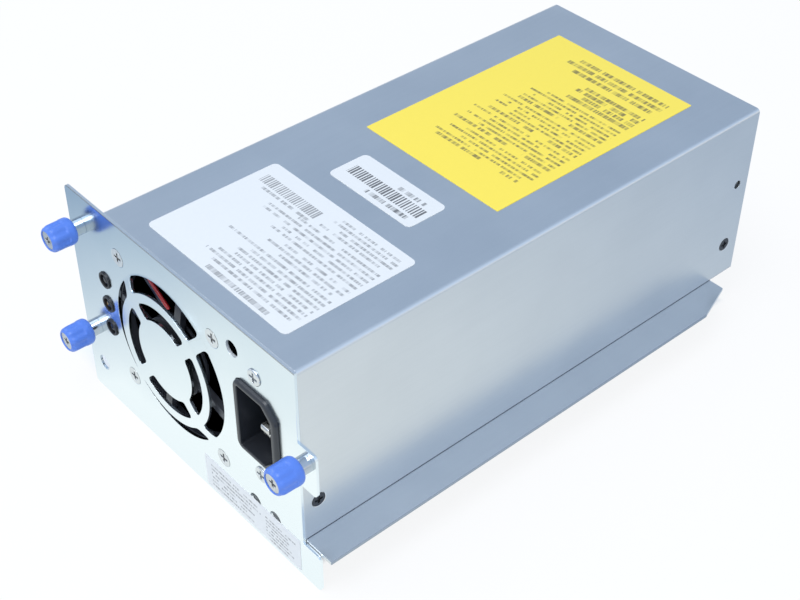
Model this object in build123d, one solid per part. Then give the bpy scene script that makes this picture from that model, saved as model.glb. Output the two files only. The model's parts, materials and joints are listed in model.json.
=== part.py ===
"""Slide-in power supply for a server bay: steel case, front fan, mains inlet, captive thumbscrews.

Frame: X to the right seen from the front, Y from the front plate to the rear, Z up.
The origin is the middle of the case's underside. All lengths are in millimetres.
"""
import os
from math import cos, radians, sin

from build123d import *

# Case
case_width = 97.0
case_length = 200.0
case_height = 70.2
cover_sheet = 1.0
tray_sheet = 1.2
cover_bend = 1.5
sheet_gap = 0.2
seam_gap = 0.3
wing_seam = 0.1

# Guide wing along the right side of the tray
wing_width = 11.8
wing_rise = 0.6
wing_rear_gap = 12.0
wing_chamfer_width = 5.7
wing_chamfer_length = 16.0

# Front plate
plate_sheet = 1.0
left_ear = 20.5
right_ear = 8.0
right_ear_top = 43.7
right_ear_bottom = 27.0
skirt_top = 0.8
skirt_depth = 14.4
plate_corner = 1.8
locating_hole = 2.85
locating_upper_right = (29.6, 10.7)
locating_lower_left = (12.8, -1.1)
index_hole = 2.75
index_hole_inset = 13.7
index_hole_pitch = 10.0
index_hole_height = 0.3
tray_notch_margin = 1.0
tray_notch_depth = 14.0

# Fan and its pressed guard
fan_height_room = 10.2
fan_width_room = 37.0
fan_depth = 25.0
fan_hole_inset = 5.0
fan_rim = 1.5
fan_wall = 1.3
fan_flange = 4.0
fan_corner = 3.0
fan_screw_hole = 2.2
fan_side_gap = 1.2
fan_floor_gap = 0.4
guard_margin = 0.6
guard_slot_margin = 0.8
guard_ring_outer_share = 0.39
guard_ring_inner_share = 0.332
guard_disc_share = 0.237
guard_rise = 2.1
guard_spoke = 4.7
guard_slot_corner = 1.4
motor_base_margin = 0.6
motor_base_thickness = 2.4
strut_count = 4
strut_width = 3.2
strut_turn = -15.0
hub_margin = 0.2
hub_wall = 1.2
hub_front_gap = 0.8
hub_rear_gap = 3.0
blade_count = 7
blade_tip_gap = 0.8
blade_chord_root = 13.0
blade_chord_tip = 15.0
blade_thickness = 1.2
blade_root_pitch = 48.0
blade_tip_pitch = 32.0
shaft_radius = 1.5
shaft_fit = 0.04
bearing_radius = 2.9
boss_radius = 4.0
boss_length = 14.0
press_gap = 0.02
stator_air_gap = 1.4
stator_length = 8.0
stator_start = 3.0
stator_yoke = 6.4
stator_pole = 4.4
stator_poles = 4
stator_tip = 1.6
stator_slot = 2.4
screw_head_radius = 3.2
screw_head_height = 1.0
screw_shank = 1.9
fan_screw_length = 8.0
cross_width = 0.9
cross_depth = 0.6
fan_lead_radius = 0.65
fan_lead_pitch = 1.7
fan_lead_angle = 147.0
fan_lead_start_share = (-0.05, 0.267)
fan_lead_depth = 2.1
fan_lead_bend = 2.6
fan_lead_rise = 2.2
plug_size = (8.0, 6.0, 7.0)
plug_corner = 0.6
plug_key = 1.6
fan_plug_inset = (17.0, 5.0)

# Mains inlet, long side upright
inlet_inset = 19.1
inlet_lift = 0.6
inlet_rim_width = 20.5
inlet_rim_height = 28.2
inlet_rim_corner = 3.4
inlet_rim_key = 5.0
inlet_rim_round = 1.3
inlet_proud = 1.5
inlet_fit = 0.2
socket_width = 15.9
socket_height = 24.4
socket_depth = 17.0
socket_corner = 0.8
socket_key = 4.0
inlet_flange_margin = 0.9
inlet_flange_thickness = 3.0
inlet_ear_radius = 4.0
inlet_screw_pitch = 40.0
inlet_back_depth = 20.0
inlet_screw_hole = 1.7
inlet_screw_head = 2.9
inlet_screw_length = 7.0
inlet_screw_proud = 0.6
pin_width = 4.0
pin_thickness = 2.0
pin_length = 15.0
line_pin_short = 3.5
pin_pitch = 14.0
pin_offset = 2.0
tail_length = 6.0
tail_thickness = 0.8
inlet_lead_radius = 1.3
inlet_lead_steps = (2, 0, 1)

# Status lights beside the left wall
led_outset = 2.8
led_pitch = 10.0
led_hole = 3.1
led_bezel_fit = 0.1
led_radius = 2.2
led_flange_radius = 2.45
led_length = 5.0
led_bezel_proud = 0.6
led_recess = 0.3
led_nose = 1.8
holder_width = 6.6
holder_margin = 4.4
holder_depth = 8.0
holder_wall_gap = 0.1
led_board_thickness = 1.2
led_lead_radius = 0.5
led_lead_pitch = 1.2
led_lead_bend = 1.6
led_lead_count = 3
led_plug_gap = 1.4
grommet_radius = 3.4
grommet_bore = 2.2
grommet_lip = 0.9
grommet_lip_height = 0.7
led_plug_inset = 8.5

# Captive thumbscrews
thumb_left_outset = 12.9
thumb_upper_drop = 12.2
thumb_lower_height = 15.8
thumb_right_height = 39.2
knob_radius = 4.65
knob_length = 9.1
knob_stand_off = 3.6
knob_bore = 3.2
knob_bore_depth = 5.6
knob_chamfer = 0.7
knob_nose = 1.1
knob_flutes = 8
knob_flute_radius = 1.7
knob_flute_depth = 0.4
knob_flute_length = 6.0
head_recess = 0.3
head_thickness = 1.3
head_radius = 3.2
ferrule_radius = 2.9
ferrule_neck = 2.3
ferrule_overlap = 1.8
ferrule_bore = 2.45
ferrule_shoulder = 0.6
ferrule_lip = 0.5
thumb_shank = 1.5
thumb_fit = 0.08
collar_radius = 1.9
collar_thickness = 0.5
collar_gap = 0.2
tip_length = 0.5
spring_wire = 0.2
spring_turns = 5
spring_radius = 1.92

# Cover screws in the side walls
side_screw_height = 15.7
side_screw_front = 5.6
side_screw_rear = 7.0
side_screw_head = 2.5
side_screw_shank = 1.45
side_screw_length = 3.6
spare_hole_height = 41.4
spare_hole_rear = 5.5
spare_hole = 1.6
tab_width = 11.0
tab_height = 24.0
front_strip = 5.2
top_lip = 6.6

# Rear wall
vent_count = 14
vent_side_margin = 6.5
vent_width = 3.0
vent_top_gap = 7.2
vent_bottom_gap = 9.0
connector_side_gap = 3.3
connector_z = 21.0
connector_width = 48.0
connector_height = 14.0
connector_back = 12.0
connector_proud = 5.0
connector_ear = 7.0
connector_flange = 3.0
connector_hole = 1.6
connector_fit = 0.25
contact_count = 8
contact_pitch = 5.4
contact_width = 1.6
contact_height = 8.0
contact_depth = 4.0
contact_gap = 0.2

# Circuit board and what stands on it
board_side_gap = 3.5
board_start = 32.0
board_end = 18.0
board_thickness = 1.6
standoff_height = 6.0
standoff_radius = 2.6
board_screw_radius = 1.4
board_screw_head = 2.6
board_screw_head_height = 1.6
board_screw_length = 5.0
board_hole = 1.6
board_hole_inset = 4.0
insulator_thickness = 0.4
bulk_capacitor_radius = 15.0
bulk_capacitor_height = 46.0
bulk_capacitor_inset = 18.0
bulk_capacitor_gap = 0.5
capacitor_groove = 0.8
film_capacitor_size = (14.0, 24.0, 20.0)
film_capacitor_place = (33.0, -45.0)
choke_place = (7.0, -49.0)
choke_core_inner = 7.0
choke_core_outer = 12.0
choke_core_height = 8.0
choke_winding = 1.6
choke_gap = 0.05
choke_arc = 130.0
heatsink_length = 52.0
heatsink_height = 40.0
heatsink_base = 3.0
heatsink_fin = 1.4
heatsink_fin_length = 11.0
heatsink_fins = 6
primary_sink_place = (26.0, 0.0)
secondary_sink_place = (20.0, 56.0)
secondary_sink_length = 36.0
transistor_size = (4.8, 15.6, 20.0)
transistor_lift = 8.0
transistor_leg = 1.0
transistor_leg_pitch = 5.0
primary_transistor_count = 3
output_rectifier_count = 2
transformer_gap = 0.7
transformer_y = 6.0
core_width = 44.0
core_depth = 18.0
core_height = 36.0
core_leg = 7.5
core_centre_leg = 13.0
winding_gap = 0.3
winding_bulge = 8.0
inductor_place = (-26.0, 48.5)
inductor_outer = 14.0
inductor_inner = 5.0
inductor_height = 13.0
output_capacitor_radius = 5.0
output_capacitor_height = 20.0
output_capacitor_count = 3
output_capacitor_pitch = 12.0
output_capacitor_place = (-10.0, 71.5)
bus_width = 10.0
bus_thickness = 1.5
bus_pitch = 24.0

# Labels, left blank
label_thickness = 0.12
yellow_label_box = (-30.8, 31.7, 92.0, 184.0)
serial_label_box = (-18.8, 20.1, 65.6, 81.7)
rating_label_box = (-34.0, 34.4, 6.8, 56.6)
front_label_box = (-2.1, 46.9, -13.2, 0.7)
white_label_corner = 2.0
yellow_label_corner = 0.4
front_label_corner = 0.6

# Places worked out from the sizes above
x_left = -case_width / 2
x_right = case_width / 2
y_front = -case_length / 2
y_rear = case_length / 2
y_face = y_front - plate_sheet
wing_top = wing_rise + tray_sheet
inner_left = x_left + cover_sheet
inner_right = x_right - cover_sheet
inner_top = case_height - cover_sheet
tray_left = inner_left + sheet_gap
tray_right = inner_right - sheet_gap
fan_size = min(case_height - fan_height_room, case_width - fan_width_room)
fan_pitch = fan_size - 2 * fan_hole_inset
fan_bore = fan_size / 2 - fan_rim
guard_slope_outer = fan_size / 2 - guard_margin
guard_outer_slot = guard_slope_outer - guard_slot_margin
guard_ring_outer = guard_ring_outer_share * fan_size
guard_ring_inner = guard_ring_inner_share * fan_size
guard_disc = guard_disc_share * fan_size
motor_base = guard_disc - motor_base_margin
hub_outer = guard_disc - hub_margin
stator_radius = hub_outer - hub_wall - stator_air_gap
fan_lead_start = [share * fan_size for share in fan_lead_start_share]
fan_x = inner_left + fan_side_gap + fan_size / 2
fan_z = tray_sheet + fan_floor_gap + fan_size / 2
fan_rear = y_front + fan_depth
led_face = y_face - led_bezel_proud
inlet_x = x_right - inlet_inset
inlet_z = case_height / 2 + inlet_lift
led_x = x_left - led_outset
led_heights = [fan_z + led_pitch * step for step in (-1, 0, 1)]
board_width = case_width - 2 * (cover_sheet + board_side_gap)
board_bottom = tray_sheet + standoff_height
board_top = board_bottom + board_thickness
board_front = y_front + board_start
board_rear = y_rear - board_end
thumbscrews = {
    "upper_left": (x_left - thumb_left_outset, case_height - thumb_upper_drop),
    "lower_left": (x_left - thumb_left_outset, thumb_lower_height),
    "right": (x_right + right_ear / 2, thumb_right_height),
}
knob_rear = y_face - knob_stand_off
knob_front = knob_rear - knob_length
knob_web = knob_rear - knob_bore_depth
fan_corners = [(fan_x + sx * fan_pitch / 2, fan_z + sz * fan_pitch / 2) for sx in (-1, 1) for sz in (-1, 1)]
index_holes = [(x_right - index_hole_inset - step * index_hole_pitch, index_hole_height) for step in (0, 1)]
locating_holes = [
    (x_right - locating_upper_right[0], case_height - locating_upper_right[1]),
    (x_left - locating_lower_left[0], locating_lower_left[1]),
]
inlet_screw_heights = [inlet_z + side * inlet_screw_pitch / 2 for side in (-1, 1)]
side_screw_places = [y_front + side_screw_front, y_rear - side_screw_rear]
standoff_places = [
    (sx * (board_width / 2 - board_hole_inset), y)
    for sx in (-1, 1)
    for y in (board_front + board_hole_inset, (board_front + board_rear) / 2, board_rear - board_hole_inset)
]
plug_width, plug_depth, plug_height = plug_size
led_plug_x = inner_left + led_plug_inset
grommet_y = board_front + board_hole_inset + board_screw_head + led_plug_gap + plug_depth / 2
fan_plug_x = fan_plug_inset[0] - board_width / 2
fan_plug_y = board_front + fan_plug_inset[1]
bulk_capacitor_place = (
    bulk_capacitor_inset - board_width / 2,
    grommet_y + plug_depth / 2 + bulk_capacitor_gap + bulk_capacitor_radius,
)
transformer_place = (
    standoff_places[0][0] + board_screw_head + transformer_gap + core_width / 2,
    transformer_y,
)
vent_bottom = connector_z + connector_height / 2 + vent_bottom_gap
vent_top = case_height - vent_top_gap
vent_pitch = (case_width - 2 * vent_side_margin) / vent_count
connector_x = tray_right - connector_side_gap - connector_width / 2 - connector_ear


def upright(y):
    """A plane across the case at depth y: its x is X and its y is Z, facing the front."""
    return Plane(origin=(0, y, 0), x_dir=(1, 0, 0), z_dir=(0, -1, 0))


def slab(sketch, y_start, y_end):
    """An outline in X and Z, carried from y_start back to y_end."""
    return extrude(upright(y_start) * sketch, amount=y_start - y_end)


def layer(sketch, z_start, z_end):
    """An outline in X and Y, carried from z_start up to z_end."""
    return extrude(Plane.XY.offset(z_start) * sketch, amount=z_end - z_start)


def rod(radius, y_start, y_end, x, z):
    """A round bar along Y."""
    return slab(Pos(x, z) * Circle(radius), y_start, y_end)


def post(radius, z_start, z_end, x, y):
    """A round bar along Z."""
    return layer(Pos(x, y) * Circle(radius), z_start, z_end)


def block(x_start, x_end, y_start, y_end, z_start, z_end):
    """A box between two corners."""
    size = (x_end - x_start, y_end - y_start, z_end - z_start)
    middle = ((x_start + x_end) / 2, (y_start + y_end) / 2, (z_start + z_end) / 2)
    return Pos(*middle) * Box(*size)


def turned(points, x, z):
    """A profile of (radius, y) points turned about an axis along Y."""
    plane = Plane(origin=(x, 0, z), x_dir=(1, 0, 0), z_dir=(0, 0, 1))
    profile = make_face(Polyline(*points, close=True))
    return revolve(plane * profile, Axis((x, 0, z), (0, 1, 0)))


def turned_upright(points, x, y):
    """A profile of (radius, z) points turned about an axis along Z."""
    plane = Plane(origin=(x, y, 0), x_dir=(1, 0, 0), z_dir=(0, -1, 0))
    profile = make_face(Polyline(*points, close=True))
    return revolve(plane * profile, Axis((x, y, 0), (0, 0, 1)))


def span(start, end):
    """A flat outline between two (x, y) corners."""
    middle = Pos((start[0] + end[0]) / 2, (start[1] + end[1]) / 2)
    return middle * Rectangle(end[0] - start[0], end[1] - start[1])


def cross_recess(x, z, y, width, reach, depth):
    """The cross cut in a screw head whose face is at y."""
    bars = Rectangle(2 * reach, width) + Rectangle(width, 2 * reach)
    return slab(Pos(x, z) * bars, y, y + depth)


def wire(points, radii, radius):
    """A round lead along straight runs joined by arcs."""
    path = FilletPolyline(*points, radius=radii)
    section = Plane(origin=path @ 0, z_dir=path % 0) * Circle(radius)
    return sweep(section, path=path)


def sector_slots(inner, outer):
    """Four ring slots between the guard's diagonal spokes."""
    ring = Circle(outer) - Circle(inner)
    for angle in (45, -45):
        ring -= Rot(0, 0, angle) * Rectangle(2 * outer + guard_spoke, guard_spoke)
    return fillet(ring.vertices(), guard_slot_corner)


def plate_outline():
    """The plate with its left ear, its right ear and the wider skirt below the case."""
    body = span((x_left - left_ear, -skirt_depth), (x_right, case_height))
    body += span((x_right, right_ear_bottom), (x_right + right_ear, right_ear_top))
    body += span((x_right, -skirt_depth), (x_right + right_ear, skirt_top))
    outer = [
        v for v in body.vertices()
        if v.X < x_left - left_ear + plate_corner or v.X > x_right + right_ear - plate_corner
    ]
    return fillet(outer, plate_corner)


def keyed_outline(width, height, key, corner):
    """The inlet's upright outline, its two right corners cut off and all corners rounded."""
    side = width / 2
    top = height / 2
    outline = make_face(Polyline(
        (-side, -top), (side - key, -top), (side, key - top), (side, top - key), (side - key, top), (-side, top),
        close=True,
    ))
    return Pos(inlet_x, inlet_z) * fillet(outline.vertices(), corner)


def inlet_rim(clearance):
    """The outline of the inlet's shroud."""
    width = inlet_rim_width + 2 * clearance
    height = inlet_rim_height + 2 * clearance
    return keyed_outline(width, height, inlet_rim_key + clearance, inlet_rim_corner + clearance)


def front_plate():
    """Flat plate with the fan guard pressed forward from it."""
    plate = slab(plate_outline(), y_face, y_front)
    plate -= rod(guard_slope_outer, y_face, y_front, fan_x, fan_z)
    slope = [
        (0, y_front - guard_rise), (guard_ring_outer, y_front - guard_rise), (guard_slope_outer, y_front),
        (guard_slope_outer, y_face), (guard_ring_outer, y_face - guard_rise), (0, y_face - guard_rise),
    ]
    plate += turned(slope, fan_x, fan_z)
    slots = sector_slots(guard_ring_outer, guard_outer_slot) + sector_slots(guard_disc, guard_ring_inner)
    plate -= slab(Pos(fan_x, fan_z) * slots, y_face - 2 * guard_rise, y_front + guard_rise)
    for x, z in fan_corners:
        plate -= turned(countersink(screw_head_radius, screw_shank, y_face, y_front, inlet_fit), x, z)
    for z in led_heights:
        plate -= rod(led_hole, y_face, y_front, led_x, z)
    for x, z in locating_holes:
        plate -= rod(locating_hole, y_face, y_front, x, z)
    for x, z in index_holes:
        plate -= rod(index_hole, y_face, y_front, x, z)
    for x, z in thumbscrews.values():
        plate -= rod(ferrule_neck, y_face, y_front, x, z)
    for z in inlet_screw_heights:
        plate -= rod(inlet_screw_hole, y_face, y_front, inlet_x, z)
    return plate - slab(inlet_rim(inlet_fit), y_face, y_front)


def countersink(head, shank, y_start, y_end, clearance):
    """Half section of a countersunk hole from the face at y_start to y_end."""
    return [
        (0, y_start), (head + clearance, y_start), (shank + clearance, y_end), (0, y_end),
    ]


def top_cover():
    """Roof and both side walls in one bent sheet, with a lip behind the front plate."""
    outer = span((x_left, seam_gap), (x_right, case_height))
    outer = fillet(outer.vertices().sort_by(Axis.Y)[-2:], cover_bend)
    inner = span((inner_left, -case_height), (inner_right, inner_top))
    inner = fillet(inner.vertices().sort_by(Axis.Y)[-2:], cover_bend - cover_sheet)
    cover = slab(outer - inner, y_front, y_rear)
    cover -= block(inner_right, x_right, y_front, y_rear, 0, wing_top + wing_seam)
    cover += block(tray_left, tray_right, y_front, y_front + cover_sheet, case_height - top_lip, inner_top)
    for side in (-1, 1):
        wall = Plane(origin=(side * case_width / 2, 0, 0), x_dir=(0, side, 0), z_dir=(side, 0, 0))
        for y in side_screw_places:
            spot = Pos(side * y, side_screw_height)
            cone = loft([
                wall * (spot * Circle(side_screw_head + sheet_gap)),
                wall.offset(-cover_sheet) * (spot * Circle(side_screw_shank + sheet_gap)),
            ])
            cover -= cone
        spare = wall * (Pos(side * (y_rear - spare_hole_rear), spare_hole_height) * Circle(spare_hole))
        cover -= extrude(spare, amount=-cover_sheet)
    grommet_way = Plane(origin=(x_left, 0, 0), x_dir=(0, -1, 0), z_dir=(-1, 0, 0))
    hole = grommet_way * (Pos(-grommet_y, fan_z) * Circle(grommet_radius))
    return cover - extrude(hole, amount=-cover_sheet)


def base_tray():
    """Floor with the joggled guide wing, side tabs and the rear wall, bent from one sheet."""
    step = wing_rise
    section = make_face(Polyline(
        (tray_left, 0), (tray_right - 2 * step, 0), (tray_right - step, wing_rise),
        (x_right + wing_width, wing_rise), (x_right + wing_width, wing_top),
        (tray_right - step - tray_sheet / 2, wing_top), (tray_right - 2 * step - tray_sheet / 2, tray_sheet),
        (tray_left, tray_sheet), close=True,
    ))
    tray = slab(section, y_front + sheet_gap, y_rear)
    wing_end = y_rear - wing_rear_gap
    wing_edge = x_right + wing_width
    rear_cut = make_face(Polyline(
        (tray_right, y_rear), (tray_right, wing_end), (wing_edge - wing_chamfer_width, wing_end),
        (wing_edge, wing_end - wing_chamfer_length), (wing_edge, y_rear), close=True,
    ))
    tray -= layer(rear_cut, 0, wing_top)
    for x, z in index_holes:
        tray -= rod(index_hole + tray_notch_margin, y_front, y_front + tray_notch_depth, x, z)
    wall = span((tray_left, tray_sheet), (tray_right, inner_top - sheet_gap))
    vent = Rot(0, 0, 90) * SlotOverall(vent_top - vent_bottom, vent_width)
    for step in range(vent_count):
        x = (step - (vent_count - 1) / 2) * vent_pitch
        wall -= Pos(x, (vent_bottom + vent_top) / 2) * vent
    opening = (connector_width + 2 * connector_fit, connector_height + 2 * connector_fit)
    wall -= Pos(connector_x, connector_z) * Rectangle(*opening)
    for side in (-1, 1):
        wall -= Pos(connector_x + side * connector_ear_place(), connector_z) * Circle(connector_hole)
    tray += slab(wall, y_rear - tray_sheet, y_rear)
    for side in (-1, 1):
        edge = tray_left if side < 0 else tray_right
        inside = edge - side * cover_sheet
        floor = tray_sheet if side < 0 else wing_top
        low, high = sorted((edge, inside))
        tab_rear = y_rear - tray_sheet
        tray += block(low, high, tab_rear - tab_width, tab_rear, floor, inner_top - sheet_gap)
        tray += block(low, high, y_front, y_front + tab_width, floor - sheet_gap, tab_height)
        for y in side_screw_places:
            tray -= side_bar(side, y, side_screw_shank + press_gap, side_screw_length + cover_sheet)
        spare = Pos(side * tray_right, y_rear - spare_hole_rear, spare_hole_height) * Rot(0, 90, 0)
        tray -= spare * Cylinder(spare_hole, 4 * cover_sheet)
    strip = span((tray_right - front_strip, wing_top - sheet_gap), (tray_right, tab_height))
    return tray + slab(strip, y_front, y_front + cover_sheet)


def side_bar(side, y, radius, reach):
    """A bar along X from a side wall's outer face inwards, at a cover screw's place."""
    middle = side * (case_width / 2 - reach / 2)
    return Pos(middle, y, side_screw_height) * Rot(0, 90, 0) * Cylinder(radius, reach)


def cover_screws():
    """Countersunk screws through the side walls into the tray's tabs."""
    screws = []
    for side in (-1, 1):
        for y in side_screw_places:
            outside = side * case_width / 2
            wall = Plane(origin=(outside, y, side_screw_height), x_dir=(0, side, 0), z_dir=(side, 0, 0))
            head = loft([
                wall * Circle(side_screw_head),
                wall.offset(-cover_sheet) * Circle(side_screw_shank),
            ])
            screw = head + side_bar(side, y, side_screw_shank, side_screw_length + cover_sheet)
            bars = Rectangle(2 * side_screw_shank, cross_width) + Rectangle(cross_width, 2 * side_screw_shank)
            screws.append(screw - extrude(wall * bars, amount=-cross_depth))
    return Compound(screws)


def fan_frame():
    """Square fan frame with flanges, struts, motor base, bearing boss and a notch for the leads."""
    square = RectangleRounded(fan_size, fan_size, fan_corner) - Circle(fan_bore)
    for x, z in fan_corners:
        square -= Pos(x - fan_x, z - fan_z) * Circle(fan_screw_hole)
    middle = Pos(fan_x, fan_z)
    frame = slab(middle * square, y_front, y_front + fan_flange)
    frame += slab(middle * square, fan_rear - fan_flange, fan_rear)
    tube = Circle(fan_bore + fan_wall) - Circle(fan_bore)
    frame += slab(middle * tube, y_front + fan_flange, fan_rear - fan_flange)
    base_back = y_front + motor_base_thickness
    spider = Circle(motor_base)
    reach = fan_bore + fan_wall / 2
    for step in range(strut_count):
        angle = 360 / strut_count * step + strut_turn
        spider += Rot(0, 0, angle) * Pos(reach / 2, 0) * Rectangle(reach, strut_width)
    frame += slab(middle * spider, y_front, base_back)
    boss_end = base_back + boss_length
    frame += rod(boss_radius, base_back, boss_end, fan_x, fan_z)
    frame -= rod(bearing_radius + press_gap, base_back, boss_end, fan_x, fan_z)
    notch_width = fan_lead_pitch + 2 * fan_lead_radius + 2 * seam_gap
    notch = Pos(*fan_lead_start) * Rot(0, 0, fan_lead_angle) * Pos(fan_size / 4, 0)
    notch_depth = fan_lead_depth + fan_lead_radius + seam_gap
    return frame - slab(middle * notch * Rectangle(fan_size / 2, notch_width), y_front, y_front + notch_depth)


def fan_bearing():
    """Plain sleeve bearing in the motor boss."""
    base_back = y_front + motor_base_thickness
    sleeve = rod(bearing_radius, base_back, base_back + boss_length, fan_x, fan_z)
    return sleeve - rod(shaft_radius + shaft_fit, base_back, base_back + boss_length, fan_x, fan_z)


def fan_stator():
    """Laminated stator with its poles, on the outside of the bearing boss."""
    star = Circle(stator_yoke)
    tips = Circle(stator_radius) - Circle(stator_radius - stator_tip)
    for step in range(stator_poles):
        angle = 360 / stator_poles * step
        pole = Pos(stator_radius / 2, 0) * Rectangle(stator_radius - stator_tip, stator_pole)
        star += Rot(0, 0, angle) * pole
        between = Rot(0, 0, angle + 180 / stator_poles)
        tips -= between * Pos(stator_radius, 0) * Rectangle(stator_radius, stator_slot)
    star = star + tips - Circle(boss_radius + press_gap)
    start = y_front + motor_base_thickness + stator_start
    return slab(Pos(fan_x, fan_z) * star, start, start + stator_length)


def hub_span():
    """Front and rear faces of the rotor's hub."""
    return y_front + motor_base_thickness + hub_front_gap, fan_rear - hub_rear_gap


def fan_blade(front, rear):
    """One blade, from a steep root to a flatter tip, trimmed to the fan's bore."""
    middle = (front + rear) / 2
    stations = (
        (hub_outer - 2 * hub_wall, blade_root_pitch, blade_chord_root),
        (fan_bore, blade_tip_pitch, blade_chord_tip),
    )
    sections = []
    for radius, pitch, chord in stations:
        along = (0, sin(radians(pitch)), cos(radians(pitch)))
        plane = Plane(origin=(fan_x + radius, middle, fan_z), x_dir=along, z_dir=(1, 0, 0))
        sections.append(plane * Ellipse(chord / 2, blade_thickness / 2))
    sweep_room = rod(fan_bore - blade_tip_gap, y_front, fan_rear, fan_x, fan_z)
    return loft(sections, ruled=True) & sweep_room


def fan_rotor():
    """Hub cup, open towards the motor, with its ring of blades."""
    front, rear = hub_span()
    hub = rod(hub_outer, front, rear, fan_x, fan_z)
    rotor = fillet(hub.edges().group_by(Axis.Y)[-1], hub_wall)
    blade = fan_blade(front, rear)
    spin_axis = Axis((fan_x, 0, fan_z), (0, 1, 0))
    for step in range(blade_count):
        rotor += blade.rotate(spin_axis, 360 / blade_count * step)
    rotor -= rod(hub_outer - hub_wall, front, rear - hub_wall, fan_x, fan_z)
    rotor += rod(boss_radius, rear - 3 * hub_wall, rear - hub_wall, fan_x, fan_z)
    return rotor - fan_shaft()


def fan_shaft():
    """Steel shaft that carries the rotor, from inside the bearing to the hub's back."""
    front, rear = hub_span()
    return rod(shaft_radius, front, rear - hub_wall / 2, fan_x, fan_z)


def flat_head_screw(x, z):
    """A countersunk machine screw whose face lies level with the front plate."""
    end = y_face + fan_screw_length
    neck = y_face + screw_head_height
    profile = [(0, y_face), (screw_head_radius, y_face), (screw_shank, neck), (screw_shank, end), (0, end)]
    return turned(profile, x, z) - cross_recess(x, z, y_face, cross_width, screw_shank, cross_depth)


def fan_screws():
    """Four countersunk screws that hold the fan behind the guard."""
    return Compound([flat_head_screw(x, z) for x, z in fan_corners])


def board_plug(x, y):
    """A lead's plug in its header on the circuit board."""
    top = board_top + plug_height
    plug = layer(Pos(x, y) * RectangleRounded(plug_width, plug_depth, plug_corner), board_top, top)
    key = Pos(x, y - plug_depth / 2) * Rectangle(plug_width / 2, plug_key)
    return plug - layer(key, top - plug_height / 2, top)


def fan_lead(side):
    """One lead from the motor base, out over the frame's top and down to its plug."""
    along = (cos(radians(fan_lead_angle)), sin(radians(fan_lead_angle)))
    shift = side * fan_lead_pitch / 2
    start_x = fan_x + fan_lead_start[0] - along[1] * shift
    start_z = fan_z + fan_lead_start[1] + along[0] * shift
    over_z = fan_z + fan_size / 2 + fan_lead_rise
    over_x = start_x + (over_z - start_z) * along[0] / along[1]
    lead_y = y_front + fan_lead_depth
    down_y = fan_plug_y + shift
    behind_y = (fan_rear + fan_plug_y) / 2 + shift
    points = [
        (start_x, lead_y, start_z), (over_x, lead_y, over_z), (over_x, behind_y, over_z),
        (fan_plug_x, down_y, over_z - 2 * fan_lead_bend), (fan_plug_x, down_y, board_top + plug_height),
    ]
    return wire(points, fan_lead_bend, fan_lead_radius)


def inlet_socket():
    """Outline of the inlet's socket."""
    return keyed_outline(socket_width, socket_height, socket_key, socket_corner)


def inlet_body():
    """Inlet moulding: shroud through the plate, flange behind it and closed back."""
    front = y_face - inlet_proud
    flange_back = y_front + inlet_flange_thickness
    body = slab(inlet_rim(0), front, y_front + inlet_back_depth)
    body = fillet(body.edges().group_by(Axis.Y)[0], inlet_rim_round)
    outline = Rectangle(inlet_rim_width + 2 * inlet_flange_margin, inlet_rim_height)
    ears = [Pos(0, side * inlet_screw_pitch / 2) * Circle(inlet_ear_radius) for side in (-1, 1)]
    flange = make_hull((outline + ears).edges())
    body += slab(Pos(inlet_x, inlet_z) * flange, y_front, flange_back)
    body -= slab(inlet_socket(), front, front + socket_depth)
    for x, z in pin_places():
        way = Pos(x, z) * Rectangle(pin_width, pin_thickness)
        body -= slab(way, front + socket_depth, y_front + inlet_back_depth)
    for z in inlet_screw_heights:
        body -= rod(inlet_screw_hole - press_gap * 2, y_front, flange_back, inlet_x, z)
    return body


def pin_places():
    """Live, neutral and earth pins."""
    line_x = inlet_x - pin_offset
    return [
        (line_x, inlet_z + pin_pitch / 2), (line_x, inlet_z - pin_pitch / 2), (inlet_x + pin_offset, inlet_z),
    ]


def inlet_pins():
    """Three contact blades, the earth the longest, with solder tails behind the moulding."""
    back = y_front + inlet_back_depth
    floor = y_face - inlet_proud + socket_depth
    pins = []
    lengths = (pin_length - line_pin_short, pin_length - line_pin_short, pin_length)
    for length, (x, z) in zip(lengths, pin_places()):
        blade = slab(Pos(x, z) * Rectangle(pin_width, pin_thickness), floor - length, back)
        tip = blade.edges().group_by(Axis.Y)[0]
        blade = chamfer(tip, pin_thickness / 4)
        blade += slab(Pos(x, z) * Rectangle(pin_width, tail_thickness), back, back + tail_length)
        pins.append(blade)
    return Compound(pins)


def inlet_screws():
    """Two pan-head screws that hold the inlet's flange to the plate."""
    screws = []
    shank = inlet_screw_hole - press_gap * 3
    for z in inlet_screw_heights:
        face = y_face - inlet_screw_proud
        crown = inlet_screw_proud / 2
        profile = [
            (0, face), (inlet_screw_head - crown, face), (inlet_screw_head, y_face - crown),
            (inlet_screw_head, y_face), (shank, y_face), (shank, y_face + inlet_screw_length),
            (0, y_face + inlet_screw_length),
        ]
        recess = cross_recess(inlet_x, z, face, cross_width, screw_shank, cross_depth)
        screws.append(turned(profile, inlet_x, z) - recess)
    return Compound(screws)


def inlet_leads():
    """Insulated leads from the inlet's tails down to the board."""
    tail_end = y_front + inlet_back_depth + tail_length
    bend = 3 * inlet_lead_radius
    leads = []
    for step, (x, z) in zip(inlet_lead_steps, pin_places()):
        reach = tail_end + 2 * bend + 2 * step * inlet_lead_radius
        points = [(x, tail_end, z), (x, reach, z), (x, reach, board_top)]
        leads.append(wire(points, bend, inlet_lead_radius))
    return Compound(leads)


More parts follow.
